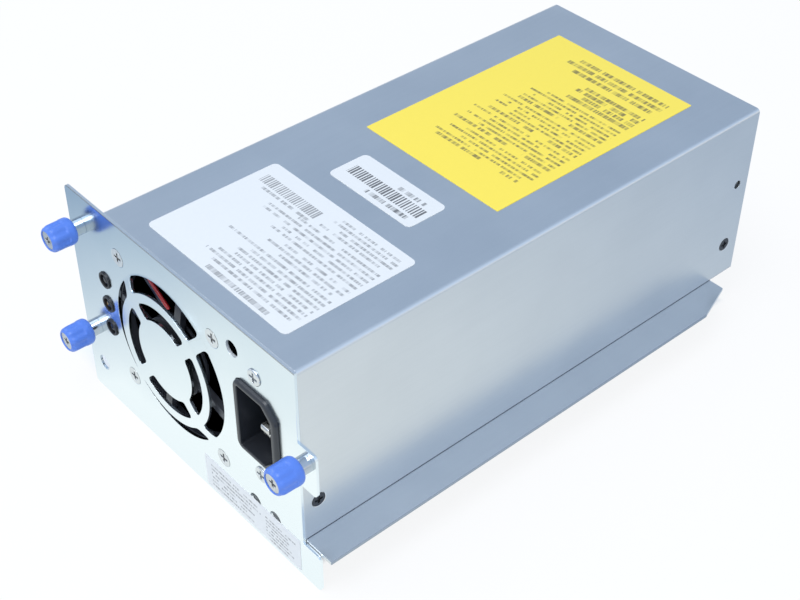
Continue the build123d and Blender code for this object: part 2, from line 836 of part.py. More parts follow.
def led_holder():
    """Black holder behind the left ear, with a bezel in each hole of the plate."""
    right = x_left - holder_wall_gap
    left = right - holder_width
    low = led_heights[0] - holder_margin
    high = led_heights[-1] + holder_margin
    back = y_front + holder_depth
    holder = block(left, right, y_front, back, low, high)
    room = span((left - holder_width, low), (right, high))
    for z in led_heights:
        bezel = rod(led_hole - led_bezel_fit, led_face, y_front, led_x, z)
        holder += bezel & slab(room, led_face, y_front)
    shoulder = led_face + led_recess + led_length
    for z in led_heights:
        holder -= rod(led_radius + press_gap, led_face, back, led_x, z)
        holder -= rod(led_flange_radius + press_gap, shoulder, back, led_x, z)
    return holder


def status_leds():
    """Three round-nosed lamps, their flanges against the small board."""
    lamps = []
    nose = led_face + led_recess
    shoulder = nose + led_length + press_gap
    back = y_front + holder_depth
    for z in led_heights:
        lamp = rod(led_radius, nose, back, led_x, z)
        lamp = fillet(lamp.edges().group_by(Axis.Y)[0], led_nose)
        lamps.append(lamp + rod(led_flange_radius, shoulder, back, led_x, z))
    return Compound(lamps)


def led_board():
    """Small board across the back of the lamp holder."""
    right = x_left - holder_wall_gap
    back = y_front + holder_depth
    low = led_heights[0] - holder_margin
    high = led_heights[-1] + holder_margin
    return block(right - holder_width, right, back, back + led_board_thickness, low, high)


def led_grommet():
    """Rubber grommet in the left wall."""
    inside = inner_left + grommet_lip_height
    outside = x_left - grommet_lip_height
    bore = grommet_bore
    waist = grommet_radius - press_gap
    lip = grommet_radius + grommet_lip
    profile = make_face(Polyline(
        (outside, bore), (outside, lip), (x_left, lip), (x_left, waist), (inner_left, waist),
        (inner_left, lip), (inside, lip), (inside, bore), close=True,
    ))
    plane = Plane(origin=(0, grommet_y, fan_z), x_dir=(1, 0, 0), z_dir=(0, -1, 0))
    return revolve(plane * profile, Axis((0, grommet_y, fan_z), (1, 0, 0)))


def led_leads():
    """Thin leads from the lamp board through the grommet and down to a plug."""
    start = y_front + holder_depth + led_board_thickness
    leads = []
    for step in range(led_lead_count):
        shift = (step - (led_lead_count - 1) / 2) * led_lead_pitch
        z = fan_z + shift
        points = [
            (led_x, start, z), (led_x, grommet_y, z), (led_plug_x + shift, grommet_y, z),
            (led_plug_x + shift, grommet_y, board_top + plug_height),
        ]
        leads.append(wire(points, led_lead_bend, led_lead_radius))
    return Compound(leads)


def ferrule(x, z):
    """Sleeve pressed into the plate that keeps a thumbscrew captive."""
    front = y_face - knob_stand_off - ferrule_overlap
    shoulder = y_face - ferrule_shoulder
    lip = y_front + ferrule_lip
    neck = ferrule_neck - press_gap
    way = thumb_shank + thumb_fit
    profile = [
        (way, shoulder), (ferrule_bore, shoulder), (ferrule_bore, front), (ferrule_radius, front),
        (ferrule_radius, y_face), (neck, y_face), (neck, y_front), (ferrule_radius, y_front),
        (ferrule_radius, lip), (way, lip),
    ]
    return turned(profile, x, z)


def knob(x, z):
    """Moulded knob with a tapered nose and shallow finger flutes round its grip."""
    pocket = knob_front + head_recess + head_thickness
    nose = knob_radius - knob_nose
    edge = knob_radius - knob_chamfer
    profile = [
        (thumb_shank, pocket), (head_radius, pocket), (head_radius, knob_front), (nose, knob_front),
        (knob_radius, knob_front + knob_nose), (knob_radius, knob_rear - knob_chamfer), (edge, knob_rear),
        (knob_bore, knob_rear), (knob_bore, knob_web), (thumb_shank, knob_web),
    ]
    body = turned(profile, x, z)
    reach = knob_radius + knob_flute_radius - knob_flute_depth
    for step in range(knob_flutes):
        angle = radians(360 / knob_flutes * step)
        place = (x + reach * cos(angle), z + reach * sin(angle))
        body -= rod(knob_flute_radius, knob_front, knob_front + knob_flute_length, *place)
    return body


def thumb_screw(x, z):
    """Screw with a flat head in the knob, its shank and the collar that keeps it in the ferrule."""
    face = knob_front + head_recess
    under = face + head_thickness
    collar_front = y_front + ferrule_lip + collar_gap
    collar_back = collar_front + collar_thickness
    tip = collar_back + tip_length
    profile = [
        (0, face), (head_radius, face), (head_radius, under), (thumb_shank, under),
        (thumb_shank, collar_front), (collar_radius, collar_front), (collar_radius, collar_back),
        (thumb_shank, collar_back),
        (thumb_shank, tip - thumb_shank / 2), (thumb_shank / 2, tip), (0, tip),
    ]
    return turned(profile, x, z) - cross_recess(x, z, face, cross_width, thumb_shank, cross_depth)


def thumb_spring(x, z):
    """Coil spring between the ferrule's shoulder and the knob's web."""
    start = knob_web + spring_wire
    end = y_face - ferrule_shoulder - spring_wire
    path = Helix((end - start) / spring_turns, end - start, spring_radius)
    section = Plane(origin=path @ 0, z_dir=path % 0) * Circle(spring_wire)
    coil = sweep(section, path=path, is_frenet=True)
    return Pos(x, start, z) * Rot(-90, 0, 0) * coil


def circuit_board():
    """Main board with its fixing holes."""
    middle = (board_front + board_rear) / 2
    outline = Pos(0, middle) * Rectangle(board_width, board_rear - board_front)
    for x, y in standoff_places:
        outline -= Pos(x, y) * Circle(board_hole)
    return layer(outline, board_bottom, board_top)


def board_standoffs():
    """Pressed standoffs between the tray and the board."""
    posts = []
    for x, y in standoff_places:
        post_solid = layer(Pos(x, y) * RegularPolygon(standoff_radius, 6), tray_sheet, board_bottom)
        posts.append(post_solid - post(board_screw_radius + press_gap, tray_sheet, board_bottom, x, y))
    return Compound(posts)


def board_screws():
    """Pan-head screws through the board into the standoffs."""
    screws = []
    top = board_top + board_screw_head_height
    for x, y in standoff_places:
        head = post(board_screw_head, board_top, top, x, y)
        head = fillet(head.edges().group_by(Axis.Z)[-1], board_screw_head_height / 2)
        screws.append(head + post(board_screw_radius, board_top - board_screw_length, board_top, x, y))
    return Compound(screws)


def board_insulator():
    """Insulating sheet on the tray's floor, cut out round the standoffs."""
    middle = (board_front + board_rear) / 2
    outline = Pos(0, middle) * Rectangle(board_width, board_rear - board_front)
    for x, y in standoff_places:
        outline -= Pos(x, y) * Circle(standoff_radius + sheet_gap)
    return layer(outline, tray_sheet, tray_sheet + insulator_thickness)


def can_capacitor(radius, height, x, y):
    """Aluminium can with the groove above its rubber seal."""
    top = board_top + height
    groove = board_top + 4 * capacitor_groove
    waist = radius - capacitor_groove
    profile = [
        (0, board_top), (radius, board_top), (radius, groove), (waist, groove + capacitor_groove),
        (radius, groove + 2 * capacitor_groove), (radius, top - capacitor_groove), (waist, top), (0, top),
    ]
    return turned_upright(profile, x, y)


def film_capacitor():
    """Boxed filter capacitor beside the inlet."""
    width, depth, height = film_capacitor_size
    x, y = film_capacitor_place
    return layer(Pos(x, y) * RectangleRounded(width, depth, plug_corner), board_top, board_top + height)


def ring_section(inner, outer, low, high):
    """A ring's upright section, for turning about Z."""
    return [(inner, low), (outer, low), (outer, high), (inner, high)]


def choke_core():
    """Toroid of the line filter choke, lying flat inside its windings."""
    low = board_top + choke_winding
    section = ring_section(choke_core_inner, choke_core_outer, low, low + choke_core_height)
    return turned_upright(section, *choke_place)


def choke_windings():
    """The choke's two windings, wrapped round opposite sides of the core."""
    high = board_top + 2 * choke_winding + choke_core_height
    outer_ring = (choke_core_inner - choke_winding, choke_core_outer + choke_winding, board_top, high)
    inner_ring = (
        choke_core_inner - choke_gap, choke_core_outer + choke_gap,
        board_top + choke_winding - choke_gap, high - choke_winding + choke_gap,
    )
    halves = []
    x, y = choke_place
    plane = Plane(origin=(x, y, 0), x_dir=(1, 0, 0), z_dir=(0, -1, 0))
    section = make_face(Polyline(*ring_section(*outer_ring), close=True))
    section -= make_face(Polyline(*ring_section(*inner_ring), close=True))
    axis = Axis((x, y, 0), (0, 0, 1))
    for start in (-choke_arc / 2, 180 - choke_arc / 2):
        arc = revolve(plane * section, axis, revolution_arc=choke_arc)
        halves.append(arc.rotate(axis, start))
    return Compound(halves)


def heatsink(place, length):
    """Extruded sink with fins on its left side, standing on the board."""
    x, y = place
    comb = span((x, board_top), (x + heatsink_base, board_top + heatsink_height))
    pitch = (heatsink_height - heatsink_fin) / (heatsink_fins - 1)
    for step in range(heatsink_fins):
        low = board_top + step * pitch
        comb += span((x - heatsink_fin_length, low), (x, low + heatsink_fin))
    return slab(comb, y - length / 2, y + length / 2)


def transistors(place, count, length):
    """Power packages on the flat side of a heatsink, with their legs in the board."""
    x = place[0] + heatsink_base
    thick, width, height = transistor_size
    low = board_top + transistor_lift
    packages = []
    for step in range(count):
        y = place[1] + (step - (count - 1) / 2) * length / count
        package = block(x, x + thick, y - width / 2, y + width / 2, low, low + height)
        for leg in (-1, 0, 1):
            leg_y = y + leg * transistor_leg_pitch
            leg_x = x + thick / 2
            half = transistor_leg / 2
            package += block(leg_x - half, leg_x + half, leg_y - half, leg_y + half, board_top, low)
        packages.append(package)
    return Compound(packages)


def transformer_core():
    """Ferrite core with a window each side of its centre leg."""
    x, y = transformer_place
    low = board_top
    high = low + core_height
    core = span((x - core_width / 2, low), (x + core_width / 2, high))
    for side in (-1, 1):
        near = x + side * core_centre_leg / 2
        far = x + side * (core_width / 2 - core_leg)
        core -= span((min(near, far), low + core_leg), (max(near, far), high - core_leg))
    return slab(core, y - core_depth / 2, y + core_depth / 2)


def transformer_winding():
    """Coil round the centre leg, seated in the core's windows."""
    x, y = transformer_place
    inner_width = core_centre_leg + 2 * winding_gap
    inner_depth = core_depth + 2 * winding_gap
    outer_width = core_width - 2 * core_leg - 2 * winding_gap
    outer_depth = inner_depth + 2 * winding_bulge
    ring = RectangleRounded(outer_width, outer_depth, winding_bulge / 2) - Rectangle(inner_width, inner_depth)
    low = board_top + core_leg
    return layer(Pos(x, y) * ring, low, low + core_height - 2 * core_leg - winding_gap)


def output_inductor():
    """Wound output toroid lying on the board."""
    section = ring_section(inductor_inner, inductor_outer, board_top, board_top + inductor_height)
    ring = turned_upright(section, *inductor_place)
    return fillet(ring.edges().filter_by(GeomType.CIRCLE), inductor_height / 4)


def output_capacitors():
    """Row of smoothing capacitors at the output."""
    x, y = output_capacitor_place
    cans = []
    for step in range(output_capacitor_count):
        along = x - step * output_capacitor_pitch
        cans.append(can_capacitor(output_capacitor_radius, output_capacitor_height, along, y))
    return Compound(cans)


def connector_ear_place():
    """Distance from the connector's middle to each of its screws."""
    return connector_width / 2 + connector_ear / 2


def contact_places():
    """X of each contact slot."""
    return [connector_x + (step - (contact_count - 1) / 2) * contact_pitch for step in range(contact_count)]


def rear_connector():
    """Blind-mating connector: moulding through the rear wall with a row of contact slots."""
    wall_inside = y_rear - tray_sheet
    front = wall_inside - connector_back
    back = y_rear + connector_proud
    middle = Pos(connector_x, connector_z)
    nose = slab(middle * Rectangle(connector_width, connector_height), front, back)
    body = chamfer(nose.edges().group_by(Axis.Y)[-1], plug_corner)
    flange_outline = Rectangle(connector_width + 2 * connector_ear, connector_height)
    for side in (-1, 1):
        flange_outline -= Pos(side * connector_ear_place(), 0) * Circle(connector_hole)
    body += slab(middle * flange_outline, wall_inside - connector_flange, wall_inside)
    slot = Rectangle(contact_width, contact_height)
    for x in contact_places():
        body -= slab(Pos(x, connector_z) * slot, back - contact_depth, back)
    return body


def rear_contacts():
    """Contact blades at the bottom of the connector's slots."""
    back = y_rear + connector_proud
    blade = Rectangle(contact_width - 2 * contact_gap, contact_height - 2 * contact_gap)
    blades = []
    for x in contact_places():
        blades.append(slab(Pos(x, connector_z) * blade, back - contact_depth, back - 2 * contact_gap))
    return Compound(blades)


def connector_screws():
    """Screws through the rear wall into the connector's ears."""
    screws = []
    inside = y_rear - tray_sheet - connector_flange
    for side in (-1, 1):
        x = connector_x + side * connector_ear_place()
        head = rod(board_screw_head, y_rear, y_rear + board_screw_head_height, x, connector_z)
        head = fillet(head.edges().group_by(Axis.Y)[-1], board_screw_head_height / 2)
        screws.append(head + rod(connector_hole - press_gap, inside, y_rear, x, connector_z))
    return Compound(screws)


def bus_bars():
    """Copper straps from the board up to the connector's back."""
    end = y_rear - tray_sheet - connector_back
    foot = board_rear - bus_thickness
    bars = []
    for side in (-1, 1):
        x = connector_x + side * bus_pitch / 2
        left = x - bus_width / 2
        right = x + bus_width / 2
        riser = block(left, right, foot - bus_thickness, foot, board_top, connector_z)
        run = block(left, right, foot - bus_thickness, end, connector_z, connector_z + bus_thickness)
        bars.append(riser + run)
    return Compound(bars)


def labels():
    """Blank stickers: three on the roof and one on the skirt."""
    sheets = {}
    roof = {
        "yellow_label": (yellow_label_box, yellow_label_corner),
        "serial_label": (serial_label_box, white_label_corner),
        "rating_label": (rating_label_box, white_label_corner),
    }
    for name, ((near_x, far_x, near_y, far_y), corner) in roof.items():
        middle = Pos((near_x + far_x) / 2, y_front + (near_y + far_y) / 2)
        outline = middle * RectangleRounded(far_x - near_x, far_y - near_y, corner)
        sheets[name] = layer(outline, case_height, case_height + label_thickness)
    near_x, far_x, low, high = front_label_box
    middle = Pos((near_x + far_x) / 2, (low + high) / 2)
    outline = middle * RectangleRounded(far_x - near_x, high - low, front_label_corner)
    sheets["front_label"] = slab(outline, y_face - label_thickness, y_face)
    return sheets


def pieces():
    """Every node of the assembly by name."""
    nodes = {
        "front_plate": front_plate(),
        "top_cover": top_cover(),
        "base_tray": base_tray(),
        "cover_screws": cover_screws(),
        "fan_frame": fan_frame(),
        "fan_bearing": fan_bearing(),
        "fan_stator": fan_stator(),
        "fan_rotor": fan_rotor(),
        "fan_shaft": fan_shaft(),
        "fan_screws": fan_screws(),
        "fan_lead_red": fan_lead(-1),
        "fan_lead_black": fan_lead(1),
        "fan_plug": board_plug(fan_plug_x, fan_plug_y),
        "inlet_body": inlet_body(),
        "inlet_pins": inlet_pins(),
        "inlet_screws": inlet_screws(),
        "inlet_leads": inlet_leads(),
        "led_holder": led_holder(),
        "status_leds": status_leds(),
        "led_board": led_board(),
        "led_grommet": led_grommet(),
        "led_leads": led_leads(),
        "led_plug": board_plug(led_plug_x, grommet_y),
        "circuit_board": circuit_board(),
        "board_standoffs": board_standoffs(),
        "board_screws": board_screws(),
        "board_insulator": board_insulator(),
        "bulk_capacitor": can_capacitor(bulk_capacitor_radius, bulk_capacitor_height, *bulk_capacitor_place),
        "film_capacitor": film_capacitor(),
        "choke_core": choke_core(),
        "choke_windings": choke_windings(),
        "primary_heatsink": heatsink(primary_sink_place, heatsink_length),
        "primary_transistors": transistors(primary_sink_place, primary_transistor_count, heatsink_length),
        "transformer_core": transformer_core(),
        "transformer_winding": transformer_winding(),
        "output_inductor": output_inductor(),
        "secondary_heatsink": heatsink(secondary_sink_place, secondary_sink_length),
        "output_rectifiers": transistors(secondary_sink_place, output_rectifier_count, secondary_sink_length),
        "output_capacitors": output_capacitors(),
        "rear_connector": rear_connector(),
        "rear_contacts": rear_contacts(),
        "connector_screws": connector_screws(),
        "bus_bars": bus_bars(),
    }
    for side, (x, z) in thumbscrews.items():
        nodes["ferrule_" + side] = ferrule(x, z)
        nodes["knob_" + side] = knob(x, z)
        nodes["screw_" + side] = thumb_screw(x, z)
        nodes["spring_" + side] = thumb_spring(x, z)
    nodes.update(labels())
    return nodes


os.makedirs("parts", exist_ok=True)
for node_name, solid in pieces().items():
    export_step(solid, f"parts/{node_name}.step")
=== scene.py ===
"""Looks of a slide-in server power supply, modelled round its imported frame.

Every piece is in metres, in the part's own frame: X to the right seen from the front,
Y from the front plate to the rear, Z up.
"""
import json
from dataclasses import dataclass
from math import floor, hypot, pi, radians

import bpy
from bpy.props import FloatProperty, FloatVectorProperty, IntProperty, PointerProperty
from bpy.types import Operator, Panel, PropertyGroup
from mathutils import Matrix, Vector


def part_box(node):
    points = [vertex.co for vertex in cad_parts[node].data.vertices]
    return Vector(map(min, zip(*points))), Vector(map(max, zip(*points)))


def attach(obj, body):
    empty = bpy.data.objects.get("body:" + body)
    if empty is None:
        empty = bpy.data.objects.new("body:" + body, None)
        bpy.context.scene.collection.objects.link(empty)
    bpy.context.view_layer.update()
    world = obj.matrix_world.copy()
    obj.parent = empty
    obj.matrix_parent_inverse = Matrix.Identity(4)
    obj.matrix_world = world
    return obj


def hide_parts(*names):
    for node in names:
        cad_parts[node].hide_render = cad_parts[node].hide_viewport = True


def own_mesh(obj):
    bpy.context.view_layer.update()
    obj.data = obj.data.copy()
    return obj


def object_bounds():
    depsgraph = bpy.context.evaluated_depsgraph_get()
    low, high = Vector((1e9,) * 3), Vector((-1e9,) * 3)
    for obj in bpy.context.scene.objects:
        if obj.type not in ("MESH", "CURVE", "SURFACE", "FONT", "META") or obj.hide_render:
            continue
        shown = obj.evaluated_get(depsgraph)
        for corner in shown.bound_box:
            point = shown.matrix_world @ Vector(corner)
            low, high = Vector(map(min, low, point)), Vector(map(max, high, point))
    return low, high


bl_info = {
    "name": "Server power supply looks",
    "version": (1, 0, 0),
    "blender": (4, 5, 0),
    "location": "View3D > Sidebar > Power supply",
    "description": "Models and finishes the pieces of a slide-in power supply round its frame",
    "category": "Object",
}

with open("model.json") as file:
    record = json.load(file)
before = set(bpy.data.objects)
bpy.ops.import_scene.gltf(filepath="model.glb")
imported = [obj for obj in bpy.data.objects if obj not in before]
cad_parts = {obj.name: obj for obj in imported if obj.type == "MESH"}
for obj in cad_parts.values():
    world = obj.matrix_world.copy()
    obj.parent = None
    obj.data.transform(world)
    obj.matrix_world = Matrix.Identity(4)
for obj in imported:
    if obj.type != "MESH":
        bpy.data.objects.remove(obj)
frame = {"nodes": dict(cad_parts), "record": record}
cad_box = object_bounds()

MM = 0.001
MERGE = 1e-6
FLAT_ANGLE = radians(0.4)
EASED_ANGLE = radians(28)
SMOOTH_ANGLE = radians(40)
NORMAL_WEIGHT = 80

SMALL_SCREW_EASE = 0.08 * MM
LARGE_SCREW_EASE = 0.1 * MM
BLADE_EASE = 0.1 * MM
FRAME_EASE = 0.2 * MM
INLET_EASE = 0.35 * MM
PIN_EASE = 0.2 * MM
HOLDER_EASE = 0.12 * MM
FERRULE_EASE = 0.1 * MM
LABEL_EASE = 0.03 * MM
CONNECTOR_EASE = 0.25 * MM

TOOL_RING = 0.3 * MM
# Depths past a head's face or a pin's tip over which the metal darkens to painted shade
SCREW_RECESS = (0.05 * MM, 0.35 * MM)
INLET_SCREW_RECESS = (0.25 * MM, 0.6 * MM)
PIN_PAINTED_SHADE = (5.0 * MM, 7.0 * MM)
RECESS_PAINTED_SHADE = (0.36, 0.36, 0.36)
# Painted shade: a thin dark line on the plate's front face just under its top edge, where it meets the cover
PAINTED_EDGE_SHADE = (0.26, 0.255, 0.25)
# Painted shade in the gap where the cover's right wall meets the wing
SEAM_PAINTED_SHADE = (0.24, 0.27, 0.32)
SEAM_REACH = 0.3 * MM
# Cut edges of the tray: the dull colour of bare cut steel, darkened further as painted shade where the plate
# stands before the wing's front edge
SHEARED_SHADED_EDGE = (0.40, 0.45, 0.52)
SHEARED_WALL = (0.62, 0.65, 0.67)
EDGE_REACH = 0.12 * MM
# Painted highlight along the cover's bend between roof and wall
PAINTED_BEND_HIGHLIGHT = (0.95, 0.97, 0.98)
BEND_REACH = 1.0 * MM
TRACK_PITCH = 2.4 * MM
TRACK_RUN = 19.0 * MM
PAD_PITCH = 5.0 * MM
TINNED_PAD = (0.55, 0.56, 0.55)
CHIP_SHIFT = Vector((1.1 * MM, 0, 0.5 * MM))
CHIP_REACH = 0.8 * MM
LETTER_WIDTH = 0.5 * MM

FERRULE_BORE = 2.45 * MM
FERRULE_NECK = 2.28 * MM
FERRULE_WAY = 1.58 * MM
FERRULE_SHOULDER = 0.6 * MM
FERRULE_STEPS = 64
WIRE_SIDES = 10
COIL_STEPS = 24
THUMBSCREWS = ("upper_left", "lower_left", "right")

# A knob's half section, in shares of its radius and of its length from the front.
KNOB_OUTLINE = (
    (0.323, 0.176), (0.65, 0.176), (0.688, 0.176), (0.688, 0.15), (0.688, 0.014), (0.70, 0.002),
    (0.75, 0.0), (0.80, 0.016), (0.87, 0.05), (0.94, 0.095), (0.985, 0.15), (1.0, 0.22), (1.0, 0.57),
    (1.0, 0.64), (1.0, 0.67), (1.0, 0.72), (1.0, 0.84), (0.985, 0.895), (0.945, 0.94), (0.88, 0.982),
    (0.82, 1.0), (0.70, 1.0), (0.688, 0.99), (0.688, 0.42), (0.688, 0.385), (0.65, 0.385), (0.323, 0.385),
)
# Each finger grip is pressed in most at its middle and less on either side.
LOBE_STEPS = 6
GRIP_PRESSES = ((0, 1.0), (1, 0.66), (5, 0.66))
GRIP_LENGTH_SHARE = 0.65
GRIP_RADIUS_SHARE = 0.82

LAMP_TARGET = Vector((0, 0, 30 * MM))
KEY_PLACE = Vector((0.16, -0.42, 1.02))
KEY_SIZE = 0.55
FILL_PLACE = Vector((-0.42, -0.42, 0.95))
FILL_SIZE = 0.8
FLOOR_SIZE = 8
FLOOR_CELLS = 8
FLOOR_GAP = 0.05 * MM
FLOOR_GLOW = 0.86
FLOOR_SHADE = (0.51, 0.61, 0.74)
FLOOR_SHEEN = (0.94, 1.0, 1.0)
CASE_FADE = 4 * MM
EAR_FADE = 8 * MM
EAR_MARGIN = 20 * MM
WALL_MARGIN = 8 * MM
EAR_SHADE_DEPTH = 22 * MM
HORIZON = 0.05
HORIZON_FADE = 0.35
SENSOR_WIDTH = 36


def mount(name):
    """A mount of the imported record."""
    return next(row for row in frame["record"]["mounts"] if row["name"] == name)


class Signal:
    """A socket in a finish's node tree that joins in plain arithmetic."""

    def __init__(self, tree, socket):
        self.tree = tree
        self.socket = socket

    @classmethod
    def make(cls, tree, kind, settings=None, values=None, output=0):
        """Adds a node of any kind: its settings first, then the values or links of its sockets."""
        node = tree.nodes.new(kind)
        for name, setting in (settings or {}).items():
            setattr(node, name, setting)
        for name, value in (values or {}).items():
            cls.feed(tree, node.inputs[name], value)
        return cls(tree, node.outputs[output])

    @staticmethod
    def feed(tree, target, value):
        """Links a signal to a socket, or sets the socket to a plain value."""
        if isinstance(value, Signal):
            tree.links.new(value.socket, target)
        else:
            target.default_value = value

    def math(self, operation, first, second=0.0):
        return Signal.make(self.tree, "ShaderNodeMath", {"operation": operation}, {0: first, 1: second})

    def __add__(self, other):
        return self.math("ADD", self, other)

    __radd__ = __add__

    def __sub__(self, other):
        return self.math("SUBTRACT", self, other)

    def __rsub__(self, other):
        return self.math("SUBTRACT", other, self)

    def __mul__(self, other):
        return self.math("MULTIPLY", self, other)

    __rmul__ = __mul__

    def __truediv__(self, other):
        return self.math("DIVIDE", self, other)

    def __rtruediv__(self, other):
        return self.math("DIVIDE", other, self)

    def __mod__(self, other):
        return self.math("FLOORED_MODULO", self, other)

    def __gt__(self, other):
        return self.math("GREATER_THAN", self, other)

    def __lt__(self, other):
        return self.math("LESS_THAN", self, other)

    def __abs__(self):
        return self.math("ABSOLUTE", self)

    def __floor__(self):
        return self.math("FLOOR", self)

    def most(self, other):
        return self.math("MAXIMUM", self, other)

    def least(self, other):
        return self.math("MINIMUM", self, other)

    def share(self):
        """The value kept between nought and one."""
        return self.most(0.0).least(1.0)


def new_finish(name, constants):
    """A material whose shader has its constant sockets set, with its node tree and shader."""
    material = bpy.data.materials.new(name)
    material.use_nodes = True
    shader = material.node_tree.nodes["Principled BSDF"]
    for socket, value in constants.items():
        shader.inputs[socket].default_value = value
    return material, material.node_tree, shader


def place_on(tree):
    """Where a point lies in the part's frame."""
    return Signal.make(tree, "ShaderNodeTexCoord", output="Object")


def axes_of(tree, place):
    """The X, Y and Z of a place."""
    return [Signal.make(tree, "ShaderNodeSeparateXYZ", values={0: place}, output=axis) for axis in range(3)]


def together(tree, x, y, z):
    """A vector from three values."""
    return Signal.make(tree, "ShaderNodeCombineXYZ", values={0: x, 1: y, 2: z})


def grain(tree, place, scale, detail=3.0, stretch=(1.0, 1.0, 1.0)):
    """Cloudy noise, stretched where the finish runs one way."""
    if stretch != (1.0, 1.0, 1.0):
        place = Signal.make(tree, "ShaderNodeMapping", values={"Vector": place, "Scale": stretch})
    return Signal.make(tree, "ShaderNodeTexNoise", values={"Vector": place, "Scale": scale, "Detail": detail})


def chance(tree, place):
    """An even random value for each whole-number place."""
    return Signal.make(tree, "ShaderNodeTexWhiteNoise", {"noise_dimensions": "3D"}, {"Vector": place})


def mixed(tree, share, first, second):
    """A colour between two colours."""
    colours = [value if isinstance(value, Signal) else (*value, 1.0) for value in (first, second)]
    values = {0: share, 6: colours[0], 7: colours[1]}
    return Signal.make(tree, "ShaderNodeMix", {"data_type": "RGBA"}, values, output=2)


def relief(tree, shader, height, depth):
    """Small relief on a surface, depth in metres."""
    bump = Signal.make(tree, "ShaderNodeBump", values={"Distance": depth, "Height": height})
    Signal.feed(tree, shader.inputs["Normal"], bump)


def colour_and_roughness(tree, shader, colour, roughness):
    """Feeds the two sockets that nearly every finish varies."""
    Signal.feed(tree, shader.inputs["Base Color"], colour)
    Signal.feed(tree, shader.inputs["Roughness"], roughness)


def sheet_finish(name, dark, light, roughness, edges=None, bend=None, seam=None):
    """Zinc-coated sheet with a rolling grain; cut edges are dull and darkened as painted shade, a bend gets a
    painted highlight, a seam gets painted shade.
    """
    material, tree, shader = new_finish(name, {"Metallic": 1.0})
    place = place_on(tree)
    x, y, z = axes_of(tree, place)
    cloud = grain(tree, place, 38.0)
    rolling = grain(tree, place, 700.0, stretch=(1.0, 0.02, 1.0))
    tooth = grain(tree, place, 2400.0)
    scuff = grain(tree, place, 160.0, detail=6.0, stretch=(1.0, 0.12, 1.0)) > 0.68
    colour = mixed(tree, cloud * 0.6 + rolling * 0.22 + tooth * 0.18, dark, light)
    matt = roughness + (tooth - 0.5) * 0.1 + (cloud - 0.5) * 0.08 + scuff * 0.02
    # The cut edges are dull, and darker as painted shade behind the plate
    if edges:
        front, right = edges
        cut = (y < front + EDGE_REACH).most(x > right - EDGE_REACH)
        colour = mixed(tree, cut, colour, SHEARED_SHADED_EDGE)
        matt = matt + cut * 0.2
    # Painted highlight: the bend is lightened towards its outer corner
    if bend:
        outward = (abs(x) - bend.x).least(z - bend.z)
        bend_highlight = (1.0 + outward / BEND_REACH).share()
        colour = mixed(tree, bend_highlight, colour, PAINTED_BEND_HIGHLIGHT)
        matt = matt - bend_highlight * 0.04
    # Painted shade: a dark strip along the wall's foot on the right, standing in for the shadow in the gap at
    # the wing
    if seam:
        seam_shade = (z < seam + SEAM_REACH) * (x > 0.0)
        colour = mixed(tree, seam_shade, colour, SEAM_PAINTED_SHADE)
        matt = matt + seam_shade * 0.2
    colour_and_roughness(tree, shader, colour, matt)
    relief(tree, shader, tooth * 0.8 + rolling * 0.2, 5e-6)
    return material


def bright_plate_finish(name, shaded, clear, edge, roughness, top, front, hole):
    """Bright zinc plating, darker to the upper left and lighter to the lower right as painted reflection,
    with a cloudy tint; duller along its cut top edge and in a hole's wall, with a line of painted shade under
    its top edge.
    """
    material, tree, shader = new_finish(name, {"Metallic": 1.0})
    place = place_on(tree)
    x, y, z = axes_of(tree, place)
    cloud = grain(tree, place, 24.0)
    tooth = grain(tree, place, 1800.0)
    brushed = grain(tree, place, 1200.0, stretch=(0.03, 1.0, 1.0))
    # Painted light and shade: lighter towards the lower right, darker towards the upper left, with a cloudy
    # tint over it
    painted_light_and_tint = x * 5.0 - z * 12.0 + (cloud - 0.5) * 0.4 + 1.16
    cut = z > top - EDGE_REACH
    # Painted shade: a thin dark strip on the front face under the top edge, standing in for the shadow line
    # at the cover
    edge_shade = (z > top - 3 * EDGE_REACH) * (y < front + EDGE_REACH)
    colour = mixed(tree, cut, mixed(tree, painted_light_and_tint.share(), shaded, clear), edge)
    colour = mixed(tree, edge_shade * 0.7, colour, PAINTED_EDGE_SHADE)
    aside = x - hole["pos_m"][0]
    along = z - hole["pos_m"][2]
    reach = hole["dims"]["r_mm"] * MM + EDGE_REACH
    wall = (aside * aside + along * along < reach * reach) * (y > front + EDGE_REACH)
    colour = mixed(tree, wall, colour, SHEARED_WALL)
    matt = roughness + (cloud - 0.5) * 0.07 + (brushed - 0.5) * 0.06 + cut * 0.13 + wall * 0.3
    colour_and_roughness(tree, shader, colour, matt)
    Signal.feed(tree, shader.inputs["Metallic"], 1.0 - wall * 0.85)
    relief(tree, shader, tooth * 0.5 + brushed * 0.5, 3e-6)
    return material


def turned_metal_finish(name, dark, light, roughness, recess=None, depth=4e-6, wear=0.12):
    """Turned or headed metal with fine tool rings along Y; from one y to another, as down a recess or along a
    pin, it darkens as painted shade.
    """
    material, tree, shader = new_finish(name, {"Metallic": 1.0})
    place = place_on(tree)
    _, y, _ = axes_of(tree, place)
    cloud = grain(tree, place, 700.0)
    rings = abs((y / TOOL_RING) % 1.0 - 0.5)
    colour = mixed(tree, cloud, dark, light)
    # Painted shade: the colour darkens towards the far end of the span, standing in for the shade down a
    # recess
    if recess:
        start, end = recess
        colour = mixed(tree, ((y - start) / (end - start)).share(), colour, RECESS_PAINTED_SHADE)
    colour_and_roughness(tree, shader, colour, roughness + (cloud - 0.5) * wear)
    relief(tree, shader, rings + cloud, depth)
    return material


